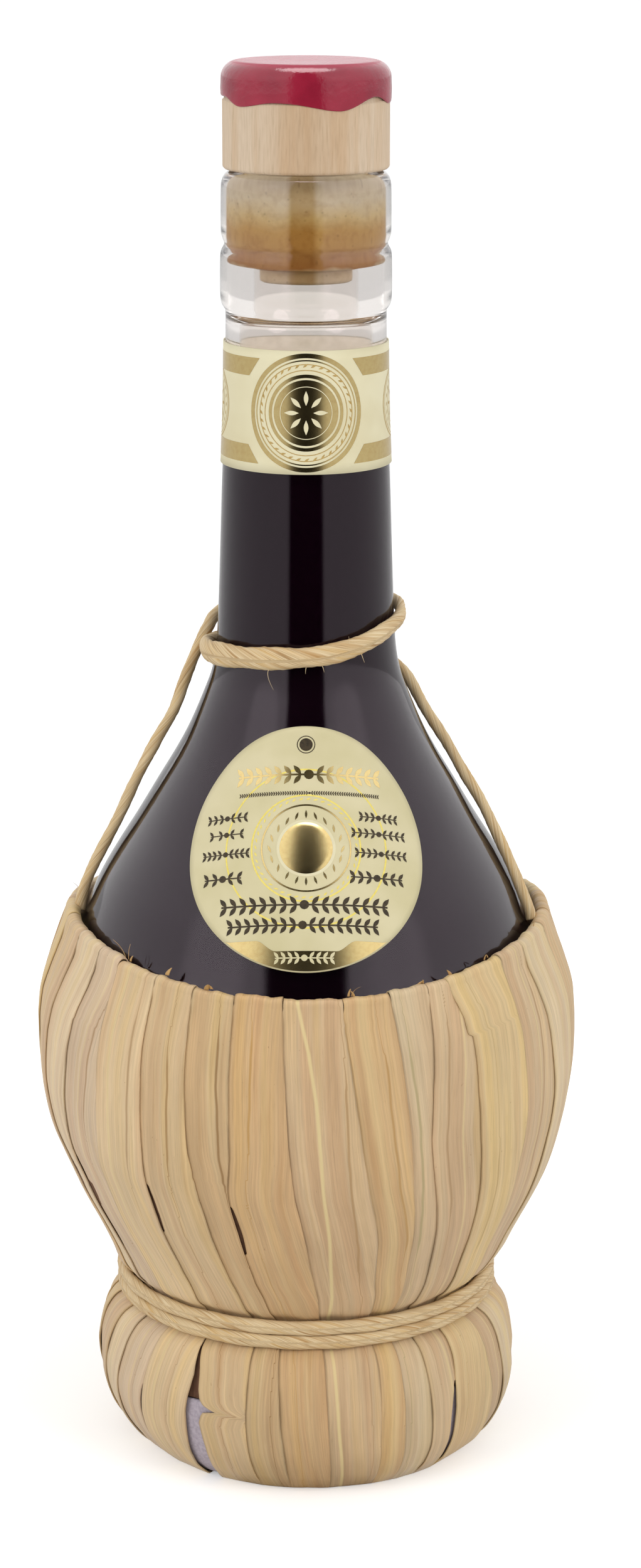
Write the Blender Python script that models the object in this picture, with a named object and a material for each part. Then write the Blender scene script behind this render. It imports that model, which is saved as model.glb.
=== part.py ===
"""A half litre bottle of dark vinegar in a woven straw cover, with a corked and waxed wooden stopper.

Lengths are in metres and +Z is up. The origin is on the bottle's axis, at the floor. Its front faces -Y.
An azimuth is counted from the front, in degrees, and grows towards +X.
The straw cover is a ring of dry leaves that run from under the bottle up to a fold at the shoulder.
"""

import math

import bmesh
import bpy
from mathutils import Vector

# Clearance and resolution
PIECE_GAP = 0.0003
TURNED_STEPS = 32
MERGE_DISTANCE = 0.000001
SHARP_ANGLE = 40

# Straw cover, outer sizes
FOOT_RADIUS = 0.0296
FOOT_INNER_RADIUS = 0.0220
BASE_RADIUS = 0.0384
BASE_HEIGHT = 0.0180
WAIST_RADIUS = 0.0323
WAIST_HEIGHT = 0.0310
BULB_RADIUS = 0.0491
BULB_HEIGHT = 0.0800
RIM_FRONT_RISE = 0.0173
RIM_SIDE_RISE = 0.0047

# Straw outlines, as shares of the height and of the change in radius between the sizes above
FOOT_SHARES = ((0, 0), (0.085, 0.27), (0.22, 0.59), (0.45, 0.875), (1, 1))
BASE_TO_WAIST_SHARES = ((0, 0), (0.4, 0.14), (0.65, 0.42), (0.79, 0.87), (1, 1))
WAIST_TO_BULB_SHARES = (
    (0, 0), (0.055, 0.048), (0.102, 0.202), (0.245, 0.4), (0.43, 0.673), (0.63, 0.885), (0.82, 0.98), (1, 1),
)
SHOULDER_ROW_SHARE = 0.36

# Leaves
LEAF_THICKNESS = 0.00045
LEVEL_STEP = 0.00095
LAP_SHARE = 0.1
FOLD_TUCK = 0.0023
SETTLE_DROP = 0.0028
LAP_DROP = 0.0055
HOOP_RADIUS = 0.0003
HOOP_POINTS = 48
FOLD_ANGLES = (180, 120, 60, 0)
LEAF_COUNT = 30

# Each front leaf edge: its azimuth at the rim, the bulb, the waist and the base, and whether the right leaf is on top
FRONT_EDGES = (
    (-66.5, -76.0, -68.0, -75.5, False),
    (-56.3, -62.6, -58.0, -65.0, False),
    (-47.6, -49.4, -46.5, -50.7, True),
    (-35.7, -36.5, -32.0, -31.8, False),
    (-24.9, -24.5, -16.0, -16.4, False),
    (-15.8, -15.8, -8.5, -6.4, False),
    (-5.0, -3.5, 5.0, 6.1, False),
    (7.3, 10.0, 20.5, 20.4, False),
    (17.9, 20.4, 26.8, 27.7, False),
    (27.5, 26.4, 34.0, 36.7, True),
    (35.8, 38.8, 45.5, 44.6, True),
    (49.5, 53.7, 57.7, 62.4, False),
    (58.8, 66.5, 66.3, 71.2, True),
)
BULB_STATION_DROP = 0.0080
BASE_STATION_DROP = 0.0060
# The back edges wander by up to this many degrees, in a fixed pattern of angles in radians
BACK_EDGE_WANDER = 1.6
WANDER_PER_EDGE = 2.4
WANDER_PER_STATION = 0.5
TOP_PER_EDGE = 5.1
OPEN_EDGE = 3
OPEN_EDGE_HALF_ANGLE = 2.45

# Cord round the waist
WAIST_CORD_RADIUS = 0.0011
WAIST_CORD_STANDOFF = 0.0020
WAIST_CORD_PITCH = 0.0027
WAIST_TURN_POINTS = 24
WAIST_CORD_START = 185
WAIST_CLIMB_ANGLE = 60

# Cord that forms the handle
HANDLE_CORD_RADIUS = 0.0014
HANDLE_CORD_POINTS = 66
ROUTE_PARTS = 20
STRAND_POINTS_APART = 5
HANDLE_STANDOFF = 0.0020
# The handle cord's centreline: azimuth, distance off the glass in standoffs, and share of the way up from
# the straw's highest rim to the foot of the neck
HANDLE_ROUTE_SHARES = (
    (-90, 1.00, 0.015), (-90, 1.15, 0.094), (-90, 1.15, 0.197), (-91, 1.30, 0.382),
    (-92, 1.75, 0.571), (-93, 2.20, 0.764), (-93, 2.45, 0.961), (-95, 2.65, 1.121),
    (-102, 2.15, 1.227), (-118, 1.30, 1.291), (-140, 0.95, 1.320), (-180, 0.85, 1.335),
    (-220, 0.85, 1.337), (-250, 0.85, 1.328), (-270, 0.90, 1.310), (-300, 0.90, 1.286),
    (-330, 0.90, 1.261), (-360, 0.90, 1.239), (-390, 0.90, 1.207), (-420, 0.90, 1.172),
    (-450, 0.85, 1.145), (-475, 0.90, 1.148), (-510, 0.95, 1.177), (-540, 1.00, 1.190),
    (-565, 1.50, 1.163), (-585, 2.05, 1.084), (-600, 2.30, 0.948), (-610, 2.05, 0.788),
    (-617, 1.45, 0.591), (-622, 1.00, 0.406), (-626, 0.90, 0.222), (-629, 1.10, 0.096),
    (-630, 1.00, 0.015),
)

# Glass bottle
GLASS_BOTTOM = 0.0010
GLASS_FOOT_THICKNESS = 0.0040
GLASS_WALL = 0.0030
GLASS_BASE_INSET = 0.0080
GLASS_WAIST_INSET = 0.0025
GLASS_BULB_INSET = 0.0022
GLASS_RIM_INSET = 0.0030
NECK_FOOT_RADIUS = 0.0180
SHOULDER_RISE = 0.0626
NECK_TOP_RADIUS = 0.01465
NECK_LENGTH = 0.0681
BEAD_RADIUS = 0.0152
GROOVE_RADIUS = 0.0148
LOWER_BEAD_HEIGHT = 0.0114
UPPER_BEAD_HEIGHT = 0.0127
LIP_ROUNDING = 0.0018
BORE_RADIUS = 0.00925
BORE_SLOPE_HEIGHT = 0.0035

# Glass outlines, as shares of the height and of the change in radius
GLASS_BASE_SHARES = ((0, 0.588), (0.03, 0.74), (0.1, 0.872), (0.23, 0.956), (0.43, 0.993), (0.63, 1))
GLASS_WAIST_TO_BULB_SHARES = (
    (0, 0), (0.055, 0.047), (0.102, 0.175), (0.245, 0.398), (0.43, 0.673), (0.63, 0.889), (0.82, 0.985),
)
GLASS_SHOULDER_SHARES = (
    (0, 0), (0.08, 0.0104), (0.16, 0.045), (0.24, 0.112), (0.32, 0.18), (0.431, 0.28), (0.521, 0.391),
    (0.615, 0.529), (0.719, 0.682), (0.815, 0.813), (0.895, 0.92),
)
GLASS_NECK_SHARES = (
    (0, 0), (0.05, 0.33), (0.109, 0.54), (0.182, 0.67), (0.314, 0.806), (0.549, 0.866), (0.696, 0.955),
    (0.843, 1),
)
LOWER_BEAD_SHARES = ((0, 0), (0.08, 0.65), (0.25, 1), (0.77, 1), (0.94, 0.8))
UPPER_BEAD_SHARES = ((0, 0), (0.07, 0.6), (0.2, 0.8), (0.74, 0.8), (0.88, 0.2))

# Contents: the air space under the lip's beads
HEADSPACE_DEPTH = 0.0187

# Stopper
HEAD_RADIUS = 0.0149
HEAD_HEIGHT = 0.0183
HEAD_FOOT_BEVEL = 0.0004
SHANK_LENGTH = 0.0192
SHANK_FOOT_LENGTH = 0.0024
SHANK_FOOT_INSET = 0.00115
WAX_PROUD = 0.00015
WAX_THICKNESS = 0.0006
WAX_ROUNDING = 0.00315
WAX_DEPTH = 0.0074
WAX_EDGE_WAVE = 0.0019
WAX_ROUND_ANGLES = (90, 60, 30, 0)
# The wax edge's crests and hollows: azimuth and share of the wave
WAX_EDGE_SHARES = (
    (-90, 0.75), (-46, 0.1), (-22, 0.9), (15, 0), (50, 1), (71, 0.2), (95, 0.8), (130, 0.1), (165, 0.9),
    (200, 0.15), (235, 0.85), (270, 0.75),
)

# Labels
LABEL_THICKNESS = 0.0003
NECK_LABEL_DROP = 0.0058
NECK_LABEL_WIDTH = 0.0223
BODY_LABEL_RADIUS = 0.02225
BODY_LABEL_DROP = 0.0221
BODY_LABEL_RINGS = 4
BODY_LABEL_STEPS = 32

# Band inside the straw at the base
BASE_BAND_LOW = 0.0045
BASE_BAND_HIGH = 0.0135
BASE_BAND_THICKNESS = 0.0012
BASE_BAND_ROWS = 4

# Colour as red, green and blue, then roughness and metallic
LOOKS = {
    "glass": ((0.012, 0.010, 0.014), 0.05, 0.0),
    "vinegar": ((0.020, 0.008, 0.010), 0.1, 0.0),
    "cork": ((0.42, 0.26, 0.10), 0.8, 0.0),
    "wood": ((0.64, 0.48, 0.29), 0.6, 0.0),
    "wax": ((0.40, 0.02, 0.05), 0.3, 0.0),
    "label": ((0.80, 0.74, 0.50), 0.6, 0.0),
    "cord": ((0.69, 0.50, 0.27), 0.75, 0.0),
    "card": ((0.32, 0.28, 0.26), 0.7, 0.0),
    "leaf": ((0.62, 0.46, 0.24), 0.55, 0.0),
}


def clear_scene():
    """Remove every object that the scene holds."""
    for thing in list(bpy.data.objects):
        bpy.data.objects.remove(thing, do_unlink=True)


def material(name, look):
    """A Principled material of one colour."""
    colour, roughness, metallic = LOOKS[look]
    made = bpy.data.materials.new(name)
    made.use_nodes = True
    shader = made.node_tree.nodes["Principled BSDF"]
    shader.inputs["Base Color"].default_value = (*colour, 1)
    shader.inputs["Roughness"].default_value = roughness
    shader.inputs["Metallic"].default_value = metallic
    made.diffuse_color = (*colour, 1)
    return made


def add_object(name, data, look):
    """Put a mesh or a curve in the scene, with its own material."""
    thing = bpy.data.objects.new(name, data)
    bpy.context.scene.collection.objects.link(thing)
    data.materials.append(material(name, look))
    return thing


def read_shares(table, share):
    """The table's value at this share, straight between its points."""
    for (low, start), (high, end) in zip(table, table[1:]):
        if share <= high:
            return start + (end - start) * (share - low) / (high - low)
    return table[-1][1]


def span_points(table, low, high):
    """The (radius, height) points of a share table, from low to high, both (radius, height)."""
    return [
        (low[0] + (high[0] - low[0]) * change, low[1] + (high[1] - low[1]) * share)
        for share, change in table
    ]


STRAW_KNOTS = (
    (FOOT_RADIUS, 0.0),
    (BASE_RADIUS, BASE_HEIGHT),
    (WAIST_RADIUS, WAIST_HEIGHT),
    (BULB_RADIUS, BULB_HEIGHT),
)
STRAW_TABLES = (FOOT_SHARES, BASE_TO_WAIST_SHARES, WAIST_TO_BULB_SHARES)
RIM_FRONT_HEIGHT = BULB_HEIGHT + RIM_FRONT_RISE
EDGE_STATIONS = (
    RIM_FRONT_HEIGHT, BULB_HEIGHT - BULB_STATION_DROP, WAIST_HEIGHT, BASE_HEIGHT - BASE_STATION_DROP,
)
NECK_FOOT_HEIGHT = BULB_HEIGHT + SHOULDER_RISE
NECK_TOP_HEIGHT = NECK_FOOT_HEIGHT + NECK_LENGTH
LIP_TOP = NECK_TOP_HEIGHT + LOWER_BEAD_HEIGHT + UPPER_BEAD_HEIGHT
GLASS_BULB_RADIUS = BULB_RADIUS - GLASS_BULB_INSET
GLASS_WAIST_RADIUS = WAIST_RADIUS - GLASS_WAIST_INSET


def shoulder_radius(height):
    """The glass's outer radius at a height on its shoulder."""
    share = (height - BULB_HEIGHT) / (NECK_FOOT_HEIGHT - BULB_HEIGHT)
    change = read_shares((*GLASS_SHOULDER_SHARES, (1, 1)), share)
    return GLASS_BULB_RADIUS + (NECK_FOOT_RADIUS - GLASS_BULB_RADIUS) * change


def straw_radius(height):
    """The straw cover's outer radius at this height. Above the bulb it stands off the glass."""
    for table, low, high in zip(STRAW_TABLES, STRAW_KNOTS, STRAW_KNOTS[1:]):
        if height <= high[1]:
            share = (height - low[1]) / (high[1] - low[1])
            return low[0] + (high[0] - low[0]) * read_shares(table, share)
    share = min((height - BULB_HEIGHT) / RIM_FRONT_RISE, 1)
    inset = GLASS_BULB_INSET + (GLASS_RIM_INSET - GLASS_BULB_INSET) * share
    return shoulder_radius(height) + inset


def rim_height(azimuth):
    """The height of the straw's fold, which rises towards both sides."""
    return RIM_FRONT_HEIGHT + RIM_SIDE_RISE * math.sin(math.radians(azimuth)) ** 2


def place(azimuth, radius, height):
    """The point at this azimuth in degrees, distance from the axis and height."""
    angle = math.radians(azimuth)
    return Vector((radius * math.sin(angle), -radius * math.cos(angle), height))


def set_in(outline):
    """For each (radius, height) point, the step that moves an outline's two sides in by one, to its right."""
    points = [Vector(point) for point in outline]
    runs = [(b - a).normalized() for a, b in zip(points, points[1:])]
    steps = []
    for before, after in zip([runs[0], *runs], [*runs, runs[-1]]):
        sides = Vector((before.y, -before.x)), Vector((after.y, -after.x))
        steps.append((sides[0] + sides[1]) / (1 + sides[0].dot(sides[1])))
    return steps


def offset_outline(outline, distance):
    """The (radius, height) points of an outline moved to its right by a distance."""
    return [
        (point[0] + step.x * distance, point[1] + step.y * distance)
        for point, step in zip(outline, set_in(outline))
    ]


def turned(name, outline, look, closed=False, shift=None):
    """Turn a (radius, height) outline about the axis. An open outline starts and ends on the axis."""
    shape = bmesh.new()
    points = [shape.verts.new((radius, 0, height)) for radius, height in outline]
    edges = [shape.edges.new(pair) for pair in zip(points, points[1:])]
    if closed:
        edges.append(shape.edges.new((points[-1], points[0])))
    bmesh.ops.spin(
        shape, geom=points + edges, cent=(0, 0, 0), axis=(0, 0, 1), angle=math.tau, steps=TURNED_STEPS,
        use_merge=True,
    )
    bmesh.ops.remove_doubles(shape, verts=shape.verts, dist=MERGE_DISTANCE)
    bmesh.ops.recalc_face_normals(shape, faces=shape.faces)
    if shift:
        for vert in shape.verts:
            vert.co.z += shift(vert.co)
    mesh = bpy.data.meshes.new(name)
    shape.to_mesh(mesh)
    shape.free()
    mesh.shade_smooth()
    mesh.set_sharp_from_angle(angle=math.radians(SHARP_ANGLE))
    return add_object(name, mesh, look)


def tube(name, points, radius, resolution, look, cyclic=False):
    """A round cord along these points, with closed ends."""
    curve = bpy.data.curves.new(name, "CURVE")
    curve.dimensions = "3D"
    curve.bevel_depth = radius
    curve.bevel_resolution = resolution
    curve.use_fill_caps = not cyclic
    spline = curve.splines.new("POLY")
    spline.points.add(len(points) - 1)
    for spot, point in zip(spline.points, points):
        spot.co = (*point, 1)
    spline.use_cyclic_u = cyclic
    return add_object(name, curve, look)


def bead_points(table, start, top):
    """One bead of the lip: it swells from the start's radius to the bead's."""
    return [
        (start[0] + (BEAD_RADIUS - start[0]) * swell, start[1] + (top - start[1]) * share)
        for share, swell in table
    ]


def glass_outline():
    """The outside of the glass, from the rim of its flat foot up to the top of the lip."""
    foot = (0.0, GLASS_BOTTOM)
    waist = (GLASS_WAIST_RADIUS, WAIST_HEIGHT)
    base = (BASE_RADIUS - GLASS_BASE_INSET, WAIST_HEIGHT)
    bulb = (GLASS_BULB_RADIUS, BULB_HEIGHT)
    neck_foot = (NECK_FOOT_RADIUS, NECK_FOOT_HEIGHT)
    neck_top = (NECK_TOP_RADIUS, NECK_TOP_HEIGHT)
    groove = (GROOVE_RADIUS, NECK_TOP_HEIGHT + LOWER_BEAD_HEIGHT)
    lip = (BEAD_RADIUS - LIP_ROUNDING, LIP_TOP)
    return [
        *span_points(GLASS_BASE_SHARES, foot, base),
        *span_points(GLASS_WAIST_TO_BULB_SHARES, waist, bulb),
        *span_points(GLASS_SHOULDER_SHARES, bulb, neck_foot),
        *span_points(GLASS_NECK_SHARES, neck_foot, neck_top),
        *bead_points(LOWER_BEAD_SHARES, neck_top, groove[1]),
        *bead_points(UPPER_BEAD_SHARES, groove, LIP_TOP),
        lip,
    ]


def glass_inside():
    """The inside of the glass, from the axis at its floor up to the foot of the bore."""
    body = [point for point in glass_outline() if point[1] < NECK_TOP_HEIGHT][::2]
    wall = offset_outline([(0.0, GLASS_BOTTOM), *body], -GLASS_WALL)
    floor = GLASS_BOTTOM + GLASS_FOOT_THICKNESS
    top = NECK_TOP_HEIGHT - BORE_SLOPE_HEIGHT
    walls = [point for point in wall if floor + GLASS_WALL < point[1] < top]
    return [(0.0, floor), (walls[0][0] - GLASS_WALL, floor), *walls, (NECK_TOP_RADIUS - GLASS_WALL, top)]


def make_glass():
    """The bottle itself, one wall with its bore open at the lip."""
    bore = [(BORE_RADIUS, NECK_TOP_HEIGHT), (BORE_RADIUS, LIP_TOP)]
    outside = [(0.0, GLASS_BOTTOM), *glass_outline()]
    return turned("glass_bottle", [*glass_inside(), *bore, *reversed(outside)], "glass")


def make_fill():
    """The vinegar, clear of the glass all round."""
    surface = NECK_TOP_HEIGHT - HEADSPACE_DEPTH
    inside = [point for point in glass_inside() if point[1] < surface]
    side = offset_outline(inside, -PIECE_GAP)
    top_radius = side[-1][0]
    side = [(0.0, side[0][1]), *side[1:], (top_radius, surface), (0.0, surface)]
    return turned("vinegar_fill", side, "vinegar")


def wax_edge(azimuth):
    """The height of the wax's lower edge above its lowest point."""
    wrapped = (azimuth + 90) % 360 - 90
    for (low, start), (high, end) in zip(WAX_EDGE_SHARES, WAX_EDGE_SHARES[1:]):
        if wrapped <= high:
            ease = (1 - math.cos(math.pi * (wrapped - low) / (high - low))) / 2
            return WAX_EDGE_WAVE * (start + (end - start) * ease)
    return 0.0


def rounded_top(radius, flat_radius, top):
    """The quarter arc from the side of a round head to its flat top."""
    bend = radius - flat_radius
    return [
        (flat_radius + bend * math.sin(math.radians(angle)), top - bend + bend * math.cos(math.radians(angle)))
        for angle in WAX_ROUND_ANGLES
    ]


def make_stopper():
    """The cork shank, the wooden head and the wax over it."""
    foot = LIP_TOP + PIECE_GAP
    shank_top = foot - PIECE_GAP
    shank_foot = shank_top - SHANK_LENGTH
    shank_step = shank_foot + SHANK_FOOT_LENGTH
    shank_radius = BORE_RADIUS - PIECE_GAP
    foot_radius = shank_radius - SHANK_FOOT_INSET
    top = foot + HEAD_HEIGHT
    edge = top - WAX_DEPTH
    wax_radius = HEAD_RADIUS + WAX_PROUD
    flat = wax_radius - WAX_ROUNDING
    turned(
        "cork_shank",
        [
            (0.0, shank_foot), (foot_radius, shank_foot),
            (foot_radius, shank_step), (shank_radius, shank_step),
            (shank_radius, shank_top), (0.0, shank_top),
        ],
        "cork",
    )

    def follow_edge(spot):
        """Lift the points near the wax's edge with its wave."""
        if abs(spot.z - edge) > WAX_THICKNESS:
            return 0.0
        return wax_edge(math.degrees(math.atan2(spot.x, -spot.y)))

    under_wax = WAX_THICKNESS + PIECE_GAP
    step = edge - PIECE_GAP
    head_top = top - under_wax
    turned(
        "stopper_head",
        [
            (0.0, foot), (HEAD_RADIUS - HEAD_FOOT_BEVEL, foot), (HEAD_RADIUS, foot + HEAD_FOOT_BEVEL),
            (HEAD_RADIUS, step), (wax_radius - under_wax, step),
            *rounded_top(wax_radius - under_wax, flat - under_wax, head_top),
            (0.0, head_top),
        ],
        "wood",
        shift=follow_edge,
    )
    inner = wax_radius - WAX_THICKNESS
    inner_top = top - WAX_THICKNESS
    turned(
        "wax_cap",
        [
            (0.0, top),
            *reversed(rounded_top(wax_radius, flat, top)),
            (wax_radius, edge), (inner, edge),
            *rounded_top(inner, flat - WAX_THICKNESS, inner_top),
            (0.0, inner_top),
        ],
        "wax",
        shift=follow_edge,
    )


def neck_radius(height):
    """The glass's outer radius at a height on its neck."""
    share = (height - NECK_FOOT_HEIGHT) / (NECK_TOP_HEIGHT - NECK_FOOT_HEIGHT)
    return NECK_FOOT_RADIUS + (NECK_TOP_RADIUS - NECK_FOOT_RADIUS) * read_shares(GLASS_NECK_SHARES, share)


def make_neck_label():
    """The paper band round the neck."""
    high = NECK_TOP_HEIGHT - NECK_LABEL_DROP
    heights = (high - NECK_LABEL_WIDTH, high - NECK_LABEL_WIDTH / 2, high)
    inside = [(neck_radius(height) + PIECE_GAP, height) for height in heights]
    outside = [(radius + LABEL_THICKNESS, height) for radius, height in reversed(inside)]
    return turned("neck_label", inside + outside, "label", closed=True)


def walk_glass(distance):
    """The glass's outer (radius, height) and outward step at a distance up the slope from the label's centre."""
    outline = glass_outline()
    sides = set_in(outline)
    lengths = [0.0]
    for low, high in zip(outline, outline[1:]):
        lengths.append(lengths[-1] + math.dist(low, high))
    label_height = NECK_FOOT_HEIGHT - BODY_LABEL_DROP
    centre = next(
        length + (label_height - low[1]) / (high[1] - low[1]) * math.dist(low, high)
        for length, low, high in zip(lengths, outline, outline[1:])
        if high[1] >= label_height
    )
    wanted = centre + distance
    for index in range(len(outline) - 1):
        if lengths[index + 1] >= wanted:
            break
    share = (wanted - lengths[index]) / (lengths[index + 1] - lengths[index])
    low, high = Vector(outline[index]), Vector(outline[index + 1])
    return low.lerp(high, share), sides[index].lerp(sides[index + 1], share)


def label_spot(across, up, lift):
    """The place of one point of the round label, which lies on the shoulder as on a cone."""
    middle = walk_glass(0.0)[0]
    low, high = walk_glass(-BODY_LABEL_RADIUS)[0], walk_glass(BODY_LABEL_RADIUS)[0]
    slope = (low.x - high.x) / (low - high).length
    apex = middle.x / slope
    reach = math.hypot(across, apex - up)
    turn = math.atan2(across, apex - up) / slope
    spot, out = walk_glass(apex - reach)
    return place(math.degrees(turn), spot.x + out.x * lift, spot.y + out.y * lift)


def make_body_label():
    """The round paper label on the front of the shoulder."""
    shape = bmesh.new()
    faces = []
    for lift, flip in ((PIECE_GAP, True), (PIECE_GAP + LABEL_THICKNESS, False)):
        rings = []
        for ring in range(1, BODY_LABEL_RINGS + 1):
            radius = BODY_LABEL_RADIUS * ring / BODY_LABEL_RINGS
            angles = [math.tau * step / BODY_LABEL_STEPS for step in range(BODY_LABEL_STEPS)]
            rings.append([
                shape.verts.new(label_spot(radius * math.cos(angle), radius * math.sin(angle), lift))
                for angle in angles
            ])
        centre = shape.verts.new(label_spot(0.0, 0.0, lift))
        for step in range(BODY_LABEL_STEPS):
            after = (step + 1) % BODY_LABEL_STEPS
            faces.append((centre, rings[0][step], rings[0][after]))
            for inner, outer in zip(rings, rings[1:]):
                faces.append((inner[step], outer[step], outer[after], inner[after]))
        if flip:
            under = rings[-1]
    for step in range(BODY_LABEL_STEPS):
        after = (step + 1) % BODY_LABEL_STEPS
        faces.append((under[step], under[after], rings[-1][after], rings[-1][step]))
    for corners in faces:
        shape.faces.new(corners)
    bmesh.ops.recalc_face_normals(shape, faces=shape.faces)
    mesh = bpy.data.meshes.new("body_label")
    shape.to_mesh(mesh)
    shape.free()
    mesh.shade_smooth()
    mesh.set_sharp_from_angle(angle=math.radians(SHARP_ANGLE))
    return add_object("body_label", mesh, "label")


def make_base_band():
    """The stiff band inside the straw that keeps the base round."""
    inward = LEAF_THICKNESS + LEVEL_STEP + PIECE_GAP + PIECE_GAP
    heights = [
        BASE_BAND_LOW + (BASE_BAND_HIGH - BASE_BAND_LOW) * row / (BASE_BAND_ROWS - 1)
        for row in range(BASE_BAND_ROWS)
    ]
    outside = offset_outline([(straw_radius(height), height) for height in heights], -inward)
    inside = offset_outline(outside, -BASE_BAND_THICKNESS)
    return turned("base_band", [*inside, *reversed(outside)], "card", closed=True)


def fold_centre(azimuth):
    """The (radius, height) that the leaves fold round, and the direction down the straw there."""
    reach = HOOP_RADIUS + PIECE_GAP + LEAF_THICKNESS
    height = rim_height(azimuth) - reach
    low = height - SETTLE_DROP
    down = Vector((straw_radius(low) - straw_radius(height), low - height)).normalized()
    return Vector((straw_radius(height) - reach, height)), down


def leaf_outline(azimuth):
    """One leaf's outer face, as (radius, height) points from its tucked end over the fold to its foot's end.

    It also gives how each row meets its neighbours: "apart", "stepped" or "lapped".
    """
    centre, down = fold_centre(azimuth)
    reach = HOOP_RADIUS + PIECE_GAP + LEAF_THICKNESS
    fold = [
        centre + Vector((math.cos(math.radians(angle)), math.sin(math.radians(angle)))) * reach
        for angle in FOLD_ANGLES
    ]
    settle = rim_height(azimuth) - SETTLE_DROP
    lap = rim_height(azimuth) - LAP_DROP
    below = []
    for table, low, high in zip(STRAW_TABLES, STRAW_KNOTS, STRAW_KNOTS[1:]):
        below += span_points(table, low, high)[:-1]
    above_bulb = BULB_HEIGHT + RIM_FRONT_RISE * SHOULDER_ROW_SHARE
    below += [STRAW_KNOTS[-1], (straw_radius(above_bulb), above_bulb)]
    lapped = [spot for spot in below if spot[1] > BASE_HEIGHT * FOOT_SHARES[2][0]]
    foot = [spot for spot in below if spot[1] < BASE_HEIGHT * FOOT_SHARES[2][0]]
    stepped = [spot for spot in below if spot not in lapped and spot not in foot]
    rows = [(tuple(fold[0] + down * FOLD_TUCK), "apart")]
    rows += [(tuple(spot), "apart") for spot in fold]
    rows.append(((straw_radius(settle), settle), "stepped"))
    rows.append(((straw_radius(lap), lap), "lapped"))
    rows += [(spot, "lapped") for spot in reversed(lapped)]
    rows += [(spot, "stepped") for spot in reversed(stepped)]
    rows += [(spot, "apart") for spot in reversed(foot)]
    rows.append(((FOOT_INNER_RADIUS, 0.0), "apart"))
    return rows


def edge_azimuths():
    """Every edge between two leaves: its azimuth at each station, and whether the leaf to its right is on top."""
    edges = [(edge[:-1], edge[-1]) for edge in FRONT_EDGES]
    back = LEAF_COUNT - len(FRONT_EDGES) + 1
    first, last = FRONT_EDGES[-1], FRONT_EDGES[0]
    for step in range(1, back):
        stations = []
        for station in range(len(EDGE_STATIONS)):
            sweep = last[station] + 360 - first[station]
            wander = BACK_EDGE_WANDER * math.sin(WANDER_PER_EDGE * step + WANDER_PER_STATION * station)
            stations.append(first[station] + sweep * step / back + wander)
        edges.append((tuple(stations), math.sin(TOP_PER_EDGE * step) > 0))
    return edges


def edge_at(stations, height):
    """The azimuth of an edge at a height."""
    table = list(zip(reversed(EDGE_STATIONS), reversed(stations)))
    if height <= table[0][0]:
        return table[0][1]
    return read_shares(table, height)


def edge_row(edges, number, height, kind, radius, side):
    """The azimuth and the level of a leaf's edge at one row. Side is 1 at its right edge and -1 at its left."""
    stations, right_on_top = edges[number % len(edges)]
    on_top = right_on_top if side < 0 else not right_on_top
    azimuth = edge_at(stations, height)
    half_gap = math.degrees(PIECE_GAP / 2 / radius)
    level = 1.0 if on_top or kind == "apart" else 0.0
    if number % len(edges) == OPEN_EDGE and height < WAIST_HEIGHT - WAIST_CORD_RADIUS:
        return azimuth - side * OPEN_EDGE_HALF_ANGLE, level
    if kind != "lapped":
        return azimuth - side * half_gap, level
    if on_top:
        return azimuth, level
    widths = [
        (edge_at(edges[(number + step + 1) % len(edges)][0], height)
         - edge_at(edges[(number + step) % len(edges)][0], height)) % 360
        for step in (-1, 0)
    ]
    return azimuth + side * LAP_SHARE * min(widths), level


def make_leaf(number, edges):
    """One leaf: a strip three points wide that laps over or under the leaves beside it."""
    left, right = edges[number], edges[(number + 1) % len(edges)]
    rim_left = left[0][0]
    rim_right = rim_left + (right[0][0] - rim_left) % 360
    columns = [leaf_outline(azimuth) for azimuth in (rim_left, (rim_left + rim_right) / 2, rim_right)]
    steps = [set_in([spot for spot, _ in column]) for column in columns]
    shape = bmesh.new()
    rows = []
    for index, (_, kind) in enumerate(columns[0]):
        heights = [column[index][0][1] for column in columns]
        radii = [column[index][0][0] for column in columns]
        start, start_level = edge_row(edges, number, heights[0], kind, radii[0], -1)
        end, end_level = edge_row(edges, number + 1, heights[2], kind, radii[2], 1)
        end = start + (end - start) % 360
        azimuths = (start, (start + end) / 2, end)
        levels = (start_level, (start_level + end_level) / 2, end_level)
        row = []
        for depth in (0.0, LEAF_THICKNESS):
            for column in range(3):
                sunk = depth + (1 - levels[column]) * LEVEL_STEP
                step = steps[column][index]
                radius = radii[column] + step.x * sunk
                row.append(shape.verts.new(place(azimuths[column], radius, heights[column] + step.y * sunk)))
        rows.append(row)
    for upper, lower in zip(rows, rows[1:]):
        for a, b in ((0, 1), (1, 2), (2, 5), (5, 4), (4, 3), (3, 0)):
            shape.faces.new((upper[a], lower[a], lower[b], upper[b]))
    for row in (rows[0], rows[-1]):
        shape.faces.new((row[0], row[1], row[4], row[3]))
        shape.faces.new((row[1], row[2], row[5], row[4]))
    bmesh.ops.recalc_face_normals(shape, faces=shape.faces)
    name = f"straw_leaf_{number + 1:02d}"
    mesh = bpy.data.meshes.new(name)
    shape.to_mesh(mesh)
    shape.free()
    mesh.shade_smooth()
    mesh.set_sharp_from_angle(angle=math.radians(SHARP_ANGLE))
    return add_object(name, mesh, "leaf")


def make_rim_hoop():
    """The thin cord that the leaves fold over."""
    points = []
    for step in range(HOOP_POINTS):
        azimuth = 360 * step / HOOP_POINTS
        centre, _ = fold_centre(azimuth)
        points.append(place(azimuth, centre.x, centre.y))
    return tube("rim_hoop", points, HOOP_RADIUS, 1, "cord", cyclic=True)


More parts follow.
